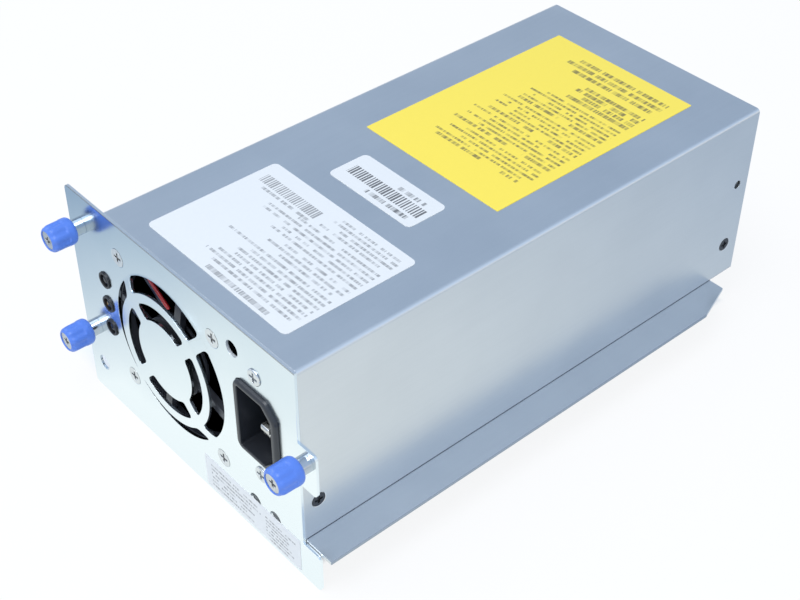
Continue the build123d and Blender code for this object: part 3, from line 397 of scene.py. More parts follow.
def moulded_finish(name, dark, light, roughness, tooth_scale, depth, coat=0.0):
    """Moulded plastic or rubber with a spark-eroded tooth and slight handling marks."""
    material, tree, shader = new_finish(name, {"Coat Weight": coat, "Coat Roughness": 0.35})
    place = place_on(tree)
    cloud = grain(tree, place, 120.0)
    tooth = grain(tree, place, tooth_scale, detail=2.0)
    tone = cloud * 0.7 + tooth * 0.3
    colour_and_roughness(tree, shader, mixed(tree, tone, dark, light), roughness + (cloud - 0.5) * 0.14)
    relief(tree, shader, tooth, depth)
    return material


def lead_finish(name, dark, light):
    """Smooth insulation with a slight sheen and drawing marks along it."""
    material, tree, shader = new_finish(name, {"Coat Weight": 0.3, "Coat Roughness": 0.2})
    place = place_on(tree)
    cloud = grain(tree, place, 260.0)
    colour_and_roughness(tree, shader, mixed(tree, cloud, dark, light), 0.36 + (cloud - 0.5) * 0.15)
    relief(tree, shader, grain(tree, place, 1500.0), 6e-6)
    return material


def winding_finish(name, dark, light, pitch):
    """Enamelled wire, turn beside turn."""
    material, tree, shader = new_finish(name, {"Metallic": 0.85, "Coat Weight": 0.5, "Coat Roughness": 0.15})
    place = place_on(tree)
    x, _, z = axes_of(tree, place)
    turn = abs((z / pitch + x * 40.0) % 1.0 - 0.5) * 2.0
    cloud = grain(tree, place, 220.0)
    colour = mixed(tree, turn * 0.7 + cloud * 0.3, dark, light)
    colour_and_roughness(tree, shader, colour, 0.3 + (cloud - 0.5) * 0.2)
    relief(tree, shader, turn, 1.2e-4)
    return material


def board_finish(name, mask, track):
    """Solder mask over copper tracks, with tinned pads."""
    material, tree, shader = new_finish(name, {"Coat Weight": 0.4, "Coat Roughness": 0.25})
    place = place_on(tree)
    x, y, _ = axes_of(tree, place)
    lane = chance(tree, together(tree, floor(x / TRACK_PITCH), floor(y / TRACK_RUN), 0.0))
    across = abs((x / TRACK_PITCH) % 1.0 - 0.5)
    tracks = (across < 0.22) * (lane > 0.45)
    pad_x = (x / PAD_PITCH) % 1.0 - 0.5
    pad_y = (y / PAD_PITCH) % 1.0 - 0.5
    pads = (pad_x * pad_x + pad_y * pad_y < 0.025) * (lane < 0.5)
    copper = mixed(tree, tracks, mask, track)
    colour = mixed(tree, pads, copper, TINNED_PAD)
    colour_and_roughness(tree, shader, colour, 0.42 - pads * 0.12 + (grain(tree, place, 300.0) - 0.5) * 0.1)
    Signal.feed(tree, shader.inputs["Metallic"], pads * 0.9)
    relief(tree, shader, tracks * 0.6 + pads, 4e-5)
    return material


def lamp_finish(name, smoked, amber, middle, reach):
    """Clear lamp lenses that look smoked in their dark holder; the one in the middle has an amber chip."""
    material, tree, shader = new_finish(name, {"Coat Weight": 0.2, "Coat Roughness": 0.03, "IOR": 1.3})
    place = place_on(tree)
    x, _, z = axes_of(tree, place)
    aside = (x - middle.x) / reach
    along = (z - middle.z) / reach
    chip = aside * aside + along * along < 1.0
    streak = grain(tree, place, 900.0)
    colour = mixed(tree, chip * (0.4 + streak * 0.6), smoked, amber)
    colour_and_roughness(tree, shader, colour, 0.12 + streak * 0.06)
    relief(tree, shader, streak, 1e-5)
    return material


@dataclass
class Print:
    """Rows of print on a label, in millimetres: where they start, how far they run and how they stack."""

    start: float
    first: float
    length: float
    rows: int
    pitch: float
    height: float
    bar_width: float = 0.0


def printed_rows(tree, block, run, across, seed):
    """Rows of plain ink marks, broken as words are and ragged at their end."""
    step = floor(across / (block.pitch * MM))
    within = across - step * (block.pitch * MM)
    row = step + seed
    ragged = 0.68 + 0.32 * chance(tree, together(tree, row, 0.5, seed))
    gaps = grain(tree, together(tree, run * 380.0, row * 7.31, seed), 1.0, detail=0.0) > 0.36
    letters = 0.12 + 0.88 * chance(tree, together(tree, floor(run / LETTER_WIDTH), row, seed))
    ink = (within < block.height * MM) * (run < ragged * (block.length * MM)) * gaps * letters
    return ink * (run > 0.0) * (step > -0.5) * (step < block.rows - 0.5)


def printed_bars(tree, block, run, across, seed):
    """A strip of upright bars of uneven width."""
    places = run / (block.bar_width * MM)
    width = 0.3 + 0.45 * chance(tree, together(tree, floor(places), seed, 0.5))
    strip = (run > 0.0) * (run < block.length * MM) * (across > 0.0) * (across < block.height * MM)
    return (places % 1.0 < width) * strip


def label_finish(name, paper, ink, blocks, upright, strength):
    """Printed label stock with plain rows of ink marks."""
    material, tree, shader = new_finish(name, {"Coat Weight": 0.25, "Coat Roughness": 0.25})
    place = place_on(tree)
    x, y, z = axes_of(tree, place)
    inked = 0.0 * x
    for seed, block in enumerate(blocks):
        run = x - block.start * MM if upright else block.start * MM - x
        across = (z if upright else y) - block.first * MM
        draw = printed_bars if block.bar_width else printed_rows
        inked = inked.most(draw(tree, block, run, across, 3.0 + 11.0 * seed))
    fibre = grain(tree, place, 900.0)
    stock = mixed(tree, fibre, [0.965 * value for value in paper], paper)
    colour_and_roughness(tree, shader, mixed(tree, inked * strength, stock, ink), 0.42 + (fibre - 0.5) * 0.1)
    relief(tree, shader, fibre, 4e-6)
    return material


def paint(piece, material):
    """Gives a piece one finish all over."""
    if not piece.material_slots:
        piece.data.materials.append(material)
    for slot in piece.material_slots:
        slot.material = material


def paint_nodes(material, *nodes):
    """Finishes nodes whose shape stays as it is."""
    for node in nodes:
        paint(frame["nodes"][node], material)


def take_up(piece):
    """Deselects everything else and makes a piece the active one."""
    bpy.ops.object.select_all(action="DESELECT")
    piece.select_set(True)
    bpy.context.view_layer.objects.active = piece


def select_points(piece, wanted):
    """Selects the points of a piece that pass a test of their place, and leaves it in edit mode."""
    bpy.ops.object.mode_set(mode="EDIT")
    bpy.ops.mesh.select_mode(type="VERT")
    bpy.ops.mesh.select_all(action="DESELECT")
    bpy.ops.object.mode_set(mode="OBJECT")
    found = 0
    for point in piece.data.vertices:
        point.select = wanted(point.co)
        found += point.select
    if not found:
        raise RuntimeError(f"no point of {piece.name} passes the test")
    bpy.ops.object.mode_set(mode="EDIT")


def apply_modifier(piece, kind, settings):
    """Adds a modifier with its settings and applies it."""
    modifier = piece.modifiers.new(kind.title(), kind)
    for name, value in settings.items():
        setattr(modifier, name, value)
    take_up(piece)
    bpy.ops.object.modifier_apply(modifier=modifier.name)


def ease_edges(piece, width, segments=3):
    """Rounds a piece's sharp edges and smooths it, with its flat faces kept flat."""
    if width > 0:
        apply_modifier(piece, "BEVEL", {
            "width": width, "segments": segments, "limit_method": "ANGLE",
            "angle_limit": EASED_ANGLE, "use_clamp_overlap": False,
        })
    take_up(piece)
    bpy.ops.object.shade_smooth_by_angle(angle=SMOOTH_ANGLE)
    apply_modifier(piece, "WEIGHTED_NORMAL", {"keep_sharp": True, "weight": NORMAL_WEIGHT})


def set_in_place(piece, body, slot, material, *replaced):
    """Finishes a piece, gives it its body and hides the nodes that it stands for."""
    paint(piece, material)
    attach(piece, body)
    if replaced:
        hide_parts(*replaced)
    return piece


def eased_copy(node, ease, body, slot, material):
    """A merged copy of a node with its edges eased, in place of the node."""
    piece = bpy.data.objects.new(node + "_dressed", frame["nodes"][node].data.copy())
    bpy.context.collection.objects.link(piece)
    take_up(piece)
    bpy.ops.object.mode_set(mode="EDIT")
    bpy.ops.mesh.select_all(action="SELECT")
    bpy.ops.mesh.remove_doubles(threshold=MERGE)
    bpy.ops.mesh.dissolve_limited(angle_limit=FLAT_ANGLE)
    bpy.ops.object.mode_set(mode="OBJECT")
    ease_edges(piece, ease)
    return set_in_place(piece, body, slot, material, node)


def turned_piece(name, profile, x, z, steps):
    """A closed profile of (radius, y) points, drawn by extruding a corner and spun about a line along Y."""
    bpy.ops.object.select_all(action="DESELECT")
    bpy.ops.mesh.primitive_plane_add(size=MM)
    piece = bpy.context.object
    piece.name = name
    bpy.ops.object.mode_set(mode="EDIT")
    bpy.ops.mesh.select_all(action="SELECT")
    bpy.ops.mesh.merge(type="CENTER")
    radius, y = profile[0]
    bpy.ops.transform.translate(value=(x + radius, y, z))
    for next_radius, next_y in [*profile[1:], profile[0]]:
        step = (next_radius - radius, next_y - y, 0)
        bpy.ops.mesh.extrude_region_move(TRANSFORM_OT_translate={"value": step})
        radius, y = next_radius, next_y
    bpy.ops.mesh.select_all(action="SELECT")
    bpy.ops.mesh.spin(steps=steps, angle=2 * pi, center=(x, 0, z), axis=(0, 1, 0))
    bpy.ops.mesh.select_all(action="SELECT")
    bpy.ops.mesh.remove_doubles(threshold=MERGE)
    bpy.ops.mesh.normals_make_consistent(inside=False)
    bpy.ops.object.mode_set(mode="OBJECT")
    return piece


RATING_PRINT = (
    Print(24.0, -92.0, 36, 1, 2.2, 1.8), Print(32.0, -88.4, 52, 7, 2.2, 1.05),
    Print(32.0, -72.6, 40, 3, 2.2, 1.05), Print(32.0, -65.6, 52, 5, 2.2, 1.0),
    Print(32.0, -54.0, 33, 4, 2.1, 1.05),
    Print(-2.7, -53.4, 27.5, 1, 4.2, 4.2, bar_width=1.05), Print(-3.0, -55.6, 25, 1, 1.6, 1.2),
)
SERIAL_PRINT = (
    Print(17.8, -29.4, 33.5, 1, 4.8, 4.8, bar_width=1.15), Print(17.5, -32.4, 28, 1, 2.0, 1.8),
    Print(17.5, -23.6, 22, 1, 2.0, 1.8),
)
FRONT_PRINT = (Print(1.0, -11.5, 27, 6, 1.75, 0.8), Print(29.5, -12.4, 16, 7, 1.5, 0.7))


class CaseSettings(PropertyGroup):
    """The case's sheets."""

    edge: FloatProperty(
        name="Edge", description="Rounding of the sheets' cut edges",
        default=0.07 * MM, unit="LENGTH", min=0,
    )
    cover_dark: FloatVectorProperty(
        name="Cover, dark", description="Darker tone of the case's zinc",
        default=(0.66, 0.68, 0.70), subtype="COLOR", min=0, max=1,
    )
    cover_light: FloatVectorProperty(
        name="Cover, light", description="Lighter tone of the case's zinc",
        default=(0.80, 0.82, 0.83), subtype="COLOR", min=0, max=1,
    )
    cover_roughness: FloatProperty(
        name="Cover roughness", description="How matt the case is",
        default=0.33, subtype="FACTOR", min=0, max=1,
    )
    # The plate's two tones are painted shade and painted light: it darkens to the upper left and lightens to
    # the lower right, as a reflection would fall
    plate_shaded: FloatVectorProperty(
        name="Plate, tinted", description="Front plate where its tint is deepest",
        default=(0.50, 0.62, 0.71), subtype="COLOR", min=0, max=1,
    )
    plate_lit: FloatVectorProperty(
        name="Plate, clear", description="Front plate where its tint is clearest",
        default=(0.93, 0.98, 1.0), subtype="COLOR", min=0, max=1,
    )
    plate_roughness: FloatProperty(
        name="Plate roughness", description="How matt the front plate is",
        default=0.2, subtype="FACTOR", min=0, max=1,
    )


class ThumbscrewSettings(PropertyGroup):
    """The captive thumbscrews."""

    colour: FloatVectorProperty(
        name="Knob", description="Colour of the knobs",
        default=(0.098, 0.228, 0.75), subtype="COLOR", min=0, max=1,
    )
    lobes: IntProperty(name="Lobes", description="Shallow finger grips round a knob", default=8, min=3)
    lobe_depth: FloatProperty(
        name="Lobe depth", description="Depth of a finger grip",
        default=0.42 * MM, unit="LENGTH", min=0,
    )
    coils: IntProperty(name="Coils", description="Turns of the spring in a knob", default=5, min=2)
    spring_wire: FloatProperty(
        name="Spring wire", description="Radius of the spring's wire",
        default=0.2 * MM, unit="LENGTH", min=0,
    )


class LabelSettings(PropertyGroup):
    """The labels' stock and ink."""

    yellow: FloatVectorProperty(
        name="Yellow", description="Stock of the large label",
        default=(0.97, 0.75, 0.08), subtype="COLOR", min=0, max=1,
    )
    white: FloatVectorProperty(
        name="White", description="Stock of the white labels",
        default=(0.77, 0.765, 0.75), subtype="COLOR", min=0, max=1,
    )
    ink: FloatVectorProperty(
        name="Ink", description="Colour of the ink marks",
        default=(0.035, 0.035, 0.04), subtype="COLOR", min=0, max=1,
    )


class StageSettings(PropertyGroup):
    """The floor, the lights and the camera."""

    floor: FloatVectorProperty(
        name="Floor", description="Colour of the floor",
        default=(0.90, 0.91, 0.92), subtype="COLOR", min=0, max=1,
    )
    sky_left: FloatVectorProperty(
        name="Sky, left", description="Light from above on the left",
        default=(0.38, 0.495, 0.665), subtype="COLOR", min=0, max=1,
    )
    sky_right: FloatVectorProperty(
        name="Sky, right", description="Light from above on the right",
        default=(0.615, 0.76, 0.965), subtype="COLOR", min=0, max=1,
    )
    sky_rear: FloatVectorProperty(
        name="Sky, rear", description="Light from above at the rear",
        default=(0.24, 0.33, 0.475), subtype="COLOR", min=0, max=1,
    )
    key_power: FloatProperty(
        name="Key light", description="Power of the main lamp", default=5.1, unit="POWER", min=0,
    )
    fill_power: FloatProperty(
        name="Fill light", description="Power of the soft lamp", default=3.0, unit="POWER", min=0,
    )
    lens: FloatProperty(name="Lens", description="Focal length", default=66.52, unit="CAMERA", min=1)


class PSU_OT_case(Operator):
    """Dresses the cover, the tray and the front plate as bent and plated sheet"""

    bl_idname = "psu.case"
    bl_label = "Case sheets"

    def execute(self, context):
        settings = context.scene.psu_case
        tones = (settings.cover_dark, settings.cover_light, settings.cover_roughness)
        wing_top = mount("guide_wing")["pos_m"][2]
        zinc = sheet_finish("galvanised_sheet", *tones, bend=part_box("top_cover")[1], seam=wing_top)
        low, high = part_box("base_tray")
        tray_zinc = sheet_finish("galvanised_tray", *tones, edges=(low.y, high.x))
        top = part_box("front_plate")[1].z
        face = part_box("front_label")[1].y
        bright = bright_plate_finish(
            "bright_zinc_plate", settings.plate_shaded, settings.plate_lit, settings.cover_light,
            settings.plate_roughness, top, face, mount("locating_hole_upper"),
        )
        screw = turned_metal_finish("blackened_screw", (0.05, 0.052, 0.06), (0.11, 0.115, 0.13), 0.38)
        eased_copy("top_cover", settings.edge, "chassis", "galvanised_steel", zinc)
        eased_copy("base_tray", settings.edge, "chassis", "galvanised_steel", tray_zinc)
        eased_copy("front_plate", settings.edge, "chassis", "zinc_plate", bright)
        eased_copy("cover_screws", SMALL_SCREW_EASE, "chassis", "dark_screw", screw)
        return {"FINISHED"}


class PSU_OT_fan(Operator):
    """Dresses the fan, its leads and its screws"""

    bl_idname = "psu.fan"
    bl_label = "Fan"

    def execute(self, context):
        black = moulded_finish(
            "fan_black", (0.030, 0.033, 0.040), (0.055, 0.058, 0.070), 0.38, 1800.0, 1.2e-5
        )
        wheel = moulded_finish(
            "fan_wheel_grey", (0.030, 0.033, 0.040), (0.060, 0.063, 0.074), 0.30, 1500.0, 1e-5
        )
        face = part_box("fan_screws")[0].y
        zinc = turned_metal_finish(
            "zinc_screw", (0.62, 0.65, 0.68), (0.84, 0.86, 0.87), 0.24,
            [face + depth for depth in SCREW_RECESS],
        )
        shaft = turned_metal_finish("ground_shaft", (0.55, 0.56, 0.58), (0.7, 0.71, 0.72), 0.18)
        bronze = turned_metal_finish("bearing_bronze", (0.36, 0.22, 0.10), (0.52, 0.34, 0.16), 0.4)
        stack = turned_metal_finish("stator_stack", (0.20, 0.20, 0.21), (0.34, 0.34, 0.35), 0.45)
        red = lead_finish("red_lead", (0.42, 0.014, 0.022), (0.56, 0.035, 0.04))
        navy = lead_finish("black_lead", (0.010, 0.012, 0.03), (0.02, 0.024, 0.06))
        eased_copy("fan_frame", FRAME_EASE, "chassis", "black_moulding", black)
        eased_copy("fan_rotor", BLADE_EASE, "fan_wheel", "black_moulding", wheel)
        eased_copy("fan_screws", SMALL_SCREW_EASE, "chassis", "zinc_screw", zinc)
        eased_copy("fan_lead_red", 0, "chassis", "red_lead", red)
        eased_copy("fan_lead_black", 0, "chassis", "black_lead", navy)
        paint_nodes(shaft, "fan_shaft")
        paint_nodes(bronze, "fan_bearing")
        paint_nodes(stack, "fan_stator")
        return {"FINISHED"}


class PSU_OT_inlet(Operator):
    """Dresses the mains inlet with its pins and screws"""

    bl_idname = "psu.inlet"
    bl_label = "Mains inlet"

    def execute(self, context):
        black = moulded_finish(
            "inlet_black", (0.014, 0.016, 0.020), (0.030, 0.033, 0.040), 0.34, 1600.0, 1e-5, 0.15
        )
        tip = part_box("inlet_pins")[0].y
        nickel = turned_metal_finish(
            "nickel_pin", (0.56, 0.56, 0.55), (0.78, 0.77, 0.75), 0.22, [tip + depth for depth in PIN_PAINTED_SHADE]
        )
        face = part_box("inlet_screws")[0].y
        zinc = turned_metal_finish(
            "inlet_screw_zinc", (0.62, 0.65, 0.68), (0.84, 0.86, 0.87), 0.2,
            [face + depth for depth in INLET_SCREW_RECESS],
        )
        eased_copy("inlet_body", INLET_EASE, "chassis", "black_moulding", black)
        eased_copy("inlet_pins", PIN_EASE, "chassis", "nickel", nickel)
        eased_copy("inlet_screws", LARGE_SCREW_EASE, "chassis", "zinc_screw", zinc)
        paint_nodes(lead_finish("mains_lead", (0.012, 0.012, 0.013), (0.03, 0.03, 0.032)), "inlet_leads")
        return {"FINISHED"}


class PSU_OT_lamps(Operator):
    """Dresses the status lamps, their holder and their wiring"""

    bl_idname = "psu.lamps"
    bl_label = "Status lamps"

    def execute(self, context):
        holder = moulded_finish(
            "holder_black", (0.009, 0.010, 0.012), (0.02, 0.02, 0.024), 0.45, 1500.0, 1e-5, 0.1
        )
        low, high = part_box("status_leds")
        chip = (low + high) / 2 - CHIP_SHIFT
        lens = lamp_finish("lamp_lens", (0.012, 0.013, 0.016), (0.70, 0.36, 0.05), chip, CHIP_REACH)
        eased_copy("led_holder", HOLDER_EASE, "chassis", "black_moulding", holder)
        eased_copy("status_leds", 0, "chassis", "lamp", lens)
        rubber = moulded_finish(
            "grommet_rubber", (0.012, 0.012, 0.012), (0.028, 0.028, 0.028), 0.6, 900.0, 2e-5
        )
        paint_nodes(rubber, "led_grommet")
        paint_nodes(board_finish("lamp_board_green", (0.012, 0.10, 0.05), (0.03, 0.17, 0.08)), "led_board")
        paint_nodes(lead_finish("lamp_lead", (0.06, 0.06, 0.065), (0.12, 0.12, 0.13)), "led_leads")
        return {"FINISHED"}


class PSU_OT_thumbscrews(Operator):
    """Models the knobs, ferrules and springs, and dresses the screws"""

    bl_idname = "psu.thumbscrews"
    bl_label = "Captive thumbscrews"

    def execute(self, context):
        settings = context.scene.psu_thumbscrews
        dark = [0.86 * value for value in settings.colour]
        blue = moulded_finish("knob_blue", dark, settings.colour, 0.4, 1400.0, 1.2e-5, 0.12)
        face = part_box("screw_right")[0].y
        zinc = turned_metal_finish(
            "thumb_screw_zinc", (0.46, 0.47, 0.48), (0.76, 0.77, 0.78), 0.24,
            [face + depth for depth in SCREW_RECESS],
        )
        polished = turned_metal_finish(
            "polished_ferrule", (0.50, 0.54, 0.59), (0.57, 0.61, 0.66), 0.16, depth=1e-7, wear=0.03
        )
        steel = turned_metal_finish("spring_steel", (0.42, 0.43, 0.45), (0.62, 0.63, 0.65), 0.25)
        for side in THUMBSCREWS:
            turning = "thumbscrew_" + side
            knob = self.knob(side, settings.lobes, settings.lobe_depth)
            set_in_place(knob, turning, "blue_knob", blue, "knob_" + side)
            eased_copy("screw_" + side, LARGE_SCREW_EASE, turning, "zinc_screw", zinc)
            set_in_place(self.ferrule(side), "chassis", "nickel", polished, "ferrule_" + side)
            self.spring(side, settings.coils, settings.spring_wire, steel)
        return {"FINISHED"}

    def knob(self, side, lobes, lobe_depth):
        """A barrel-shaped knob with a recess for its screw and shallow finger grips."""
        low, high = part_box("knob_" + side)
        x = (low.x + high.x) / 2
        z = (low.z + high.z) / 2
        radius = (high.x - low.x) / 2
        length = high.y - low.y
        profile = [(share * radius, low.y + depth * length) for share, depth in KNOB_OUTLINE]
        knob = turned_piece("knob_grip_" + side, profile, x, z, lobes * LOBE_STEPS)
        take_up(knob)
        reach = (low.y - MERGE, low.y + GRIP_LENGTH_SHARE * length)
        for offset, share in GRIP_PRESSES:
            self.select_grips(knob, x, z, radius, reach, lobes, offset)
            inward = 1 - share * lobe_depth / radius
            bpy.ops.transform.resize(value=(inward, 1, inward), center_override=(x, low.y, z))
            bpy.ops.object.mode_set(mode="OBJECT")
        apply_modifier(knob, "SUBSURF", {"levels": 1, "render_levels": 1})
        ease_edges(knob, 0)
        return knob

    def ferrule(self, side):
        """A tube round the screw and its spring, on a neck pressed into the plate and flared behind it."""
        low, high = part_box("ferrule_" + side)
        radius = (high.x - low.x) / 2
        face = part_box("front_label")[1].y
        back = face + mount("locating_hole_upper")["dims"]["length_mm"] * MM
        shoulder = face - FERRULE_SHOULDER
        profile = (
            (FERRULE_WAY, shoulder), (FERRULE_BORE, shoulder), (FERRULE_BORE, low.y), (radius, low.y),
            (radius, face), (FERRULE_NECK, face), (FERRULE_NECK, back), (radius, back), (radius, high.y),
            (FERRULE_WAY, high.y),
        )
        x = (low.x + high.x) / 2
        z = (low.z + high.z) / 2
        ferrule = turned_piece("ferrule_tube_" + side, profile, x, z, FERRULE_STEPS)
        ease_edges(ferrule, FERRULE_EASE)
        return ferrule

    def select_grips(self, knob, x, z, radius, reach, lobes, offset):
        """Selects the points of a knob's grip that lie at one place across each finger grip."""
        step = 2 * pi / (lobes * LOBE_STEPS)

        def wanted(point):
            out = hypot(point.x - x, point.z - z)
            if not reach[0] < point.y < reach[1] or out < GRIP_RADIUS_SHARE * radius:
                return False
            place = Vector((point.x - x, point.z - z)).angle_signed(Vector((1, 0))) / step
            return round(place) % LOBE_STEPS == offset

        select_points(knob, wanted)

    def spring(self, side, coils, wire, steel):
        """A coil spring, one round section carried round and along the screw."""
        low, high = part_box("spring_" + side)
        middle = ((low.x + high.x) / 2, low.y + wire, (low.z + high.z) / 2)
        bpy.ops.object.select_all(action="DESELECT")
        bpy.ops.mesh.primitive_circle_add(vertices=WIRE_SIDES, radius=wire, location=middle)
        spring = bpy.context.object
        spring.name = "coil_" + side
        bpy.ops.object.mode_set(mode="EDIT")
        bpy.ops.mesh.select_all(action="SELECT")
        bpy.ops.transform.translate(value=((high.x - low.x) / 2 - wire, 0, 0))
        bpy.ops.object.mode_set(mode="OBJECT")
        apply_modifier(spring, "SCREW", {
            "axis": "Y", "angle": 2 * pi, "screw_offset": (high.y - low.y - 2 * wire) / coils,
            "iterations": coils, "steps": COIL_STEPS, "render_steps": COIL_STEPS,
            "use_normal_calculate": True,
        })
        bpy.ops.object.transform_apply(location=True, rotation=True, scale=True)
        bpy.ops.object.mode_set(mode="EDIT")
        bpy.ops.mesh.select_all(action="DESELECT")
        bpy.ops.mesh.select_non_manifold()
        bpy.ops.mesh.edge_face_add()
        bpy.ops.mesh.select_all(action="SELECT")
        bpy.ops.mesh.normals_make_consistent(inside=False)
        bpy.ops.object.mode_set(mode="OBJECT")
        bpy.ops.object.shade_smooth_by_angle(angle=SMOOTH_ANGLE)
        set_in_place(spring, "chassis", "spring_steel", steel, "spring_" + side)
        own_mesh(spring)


class PSU_OT_labels(Operator):
    """Prints the labels with plain rows of ink marks"""

    bl_idname = "psu.labels"
    bl_label = "Labels"

    def execute(self, context):
        settings = context.scene.psu_labels
        white = settings.white
        yellow = label_finish("yellow_stock", settings.yellow, settings.ink, self.yellow_print(), False, 0.8)
        rating = label_finish("rating_stock", white, settings.ink, RATING_PRINT, False, 0.6)
        serial = label_finish("serial_stock", white, settings.ink, SERIAL_PRINT, False, 0.85)
        front = label_finish("front_stock", white, settings.ink, FRONT_PRINT, True, 0.7)
        for node, slot, stock in (
            ("yellow_label", "yellow_paper", yellow), ("rating_label", "white_paper", rating),
            ("serial_label", "white_paper", serial), ("front_label", "white_paper", front),
        ):
            eased_copy(node, LABEL_EASE, "chassis", slot, stock)
        return {"FINISHED"}

    def yellow_print(self):
        """Four like paragraphs, each with a broken heading, then two blocks of larger rows."""
        blocks = [Print(27.3, 55.6, 34, 4, 2.7, 1.9), Print(27.3, 69.0, 50, 3, 3.4, 2.0)]
        for step in range(4):
            heading = 6.8 + 12.1 * step
            blocks.append(Print(27.3, heading, 15, 1, 1.6, 1.5))
            blocks.append(Print(7.5, heading, 27, 1, 1.6, 1.5))
            blocks.append(Print(27.3, heading + 2.5, 46, 4, 2.25, 1.05))
        return blocks


class PSU_OT_rear(Operator):
    """Dresses the blind-mating connector at the rear"""

    bl_idname = "psu.rear"
    bl_label = "Rear connector"

    def execute(self, context):
        black = moulded_finish(
            "connector_black", (0.012, 0.013, 0.015), (0.028, 0.029, 0.033), 0.4, 1500.0, 1.2e-5
        )
        gold = turned_metal_finish("contact_gold", (0.62, 0.42, 0.14), (0.80, 0.58, 0.24), 0.22)
        zinc = turned_metal_finish("connector_screw_zinc", (0.6, 0.63, 0.66), (0.82, 0.84, 0.85), 0.25)
        eased_copy("rear_connector", CONNECTOR_EASE, "chassis", "black_moulding", black)
        eased_copy("connector_screws", SMALL_SCREW_EASE, "chassis", "zinc_screw", zinc)
        paint_nodes(gold, "rear_contacts")
        return {"FINISHED"}


class PSU_OT_inside(Operator):
    """Finishes the board and everything that stands on it"""

    bl_idname = "psu.inside"
    bl_label = "Inside"

    def execute(self, context):
        board = board_finish("board_green", (0.010, 0.085, 0.04), (0.03, 0.16, 0.07))
        plug = moulded_finish("plug_white", (0.62, 0.61, 0.57), (0.74, 0.73, 0.69), 0.42, 900.0, 1e-5)
        film = moulded_finish("film_box_yellow", (0.58, 0.36, 0.04), (0.70, 0.46, 0.07), 0.35, 700.0, 2e-5)
        package = moulded_finish(
            "package_black", (0.012, 0.012, 0.013), (0.028, 0.028, 0.03), 0.5, 1500.0, 2e-5
        )
        ferrite = moulded_finish("ferrite_grey", (0.03, 0.03, 0.032), (0.06, 0.06, 0.062), 0.55, 1100.0, 3e-5)
        film_sheet = moulded_finish(
            "insulator_film", (0.20, 0.20, 0.19), (0.28, 0.28, 0.27), 0.3, 500.0, 1e-5
        )
        sleeve = moulded_finish(
            "can_sleeve", (0.012, 0.02, 0.035), (0.03, 0.045, 0.07), 0.3, 400.0, 1e-5, 0.3
        )
        drawn = sheet_finish("drawn_aluminium", (0.58, 0.59, 0.60), (0.76, 0.77, 0.77), 0.32)
        tinned = turned_metal_finish("tinned_brass", (0.55, 0.52, 0.42), (0.72, 0.70, 0.60), 0.3)
        copper = winding_finish("enamelled_copper", (0.24, 0.08, 0.025), (0.62, 0.26, 0.10), 0.9 * MM)
        strap = sheet_finish("copper_strap", (0.60, 0.26, 0.13), (0.78, 0.40, 0.24), 0.3)
        paint_nodes(board, "circuit_board")
        paint_nodes(plug, "fan_plug", "led_plug")
        paint_nodes(film, "film_capacitor")
        paint_nodes(package, "primary_transistors", "output_rectifiers")
        paint_nodes(ferrite, "choke_core", "transformer_core")
        paint_nodes(film_sheet, "board_insulator")
        paint_nodes(sleeve, "bulk_capacitor", "output_capacitors")
        paint_nodes(drawn, "primary_heatsink", "secondary_heatsink")
        paint_nodes(tinned, "board_standoffs", "board_screws")
        paint_nodes(copper, "choke_windings", "transformer_winding", "output_inductor")
        paint_nodes(strap, "bus_bars")
        return {"FINISHED"}


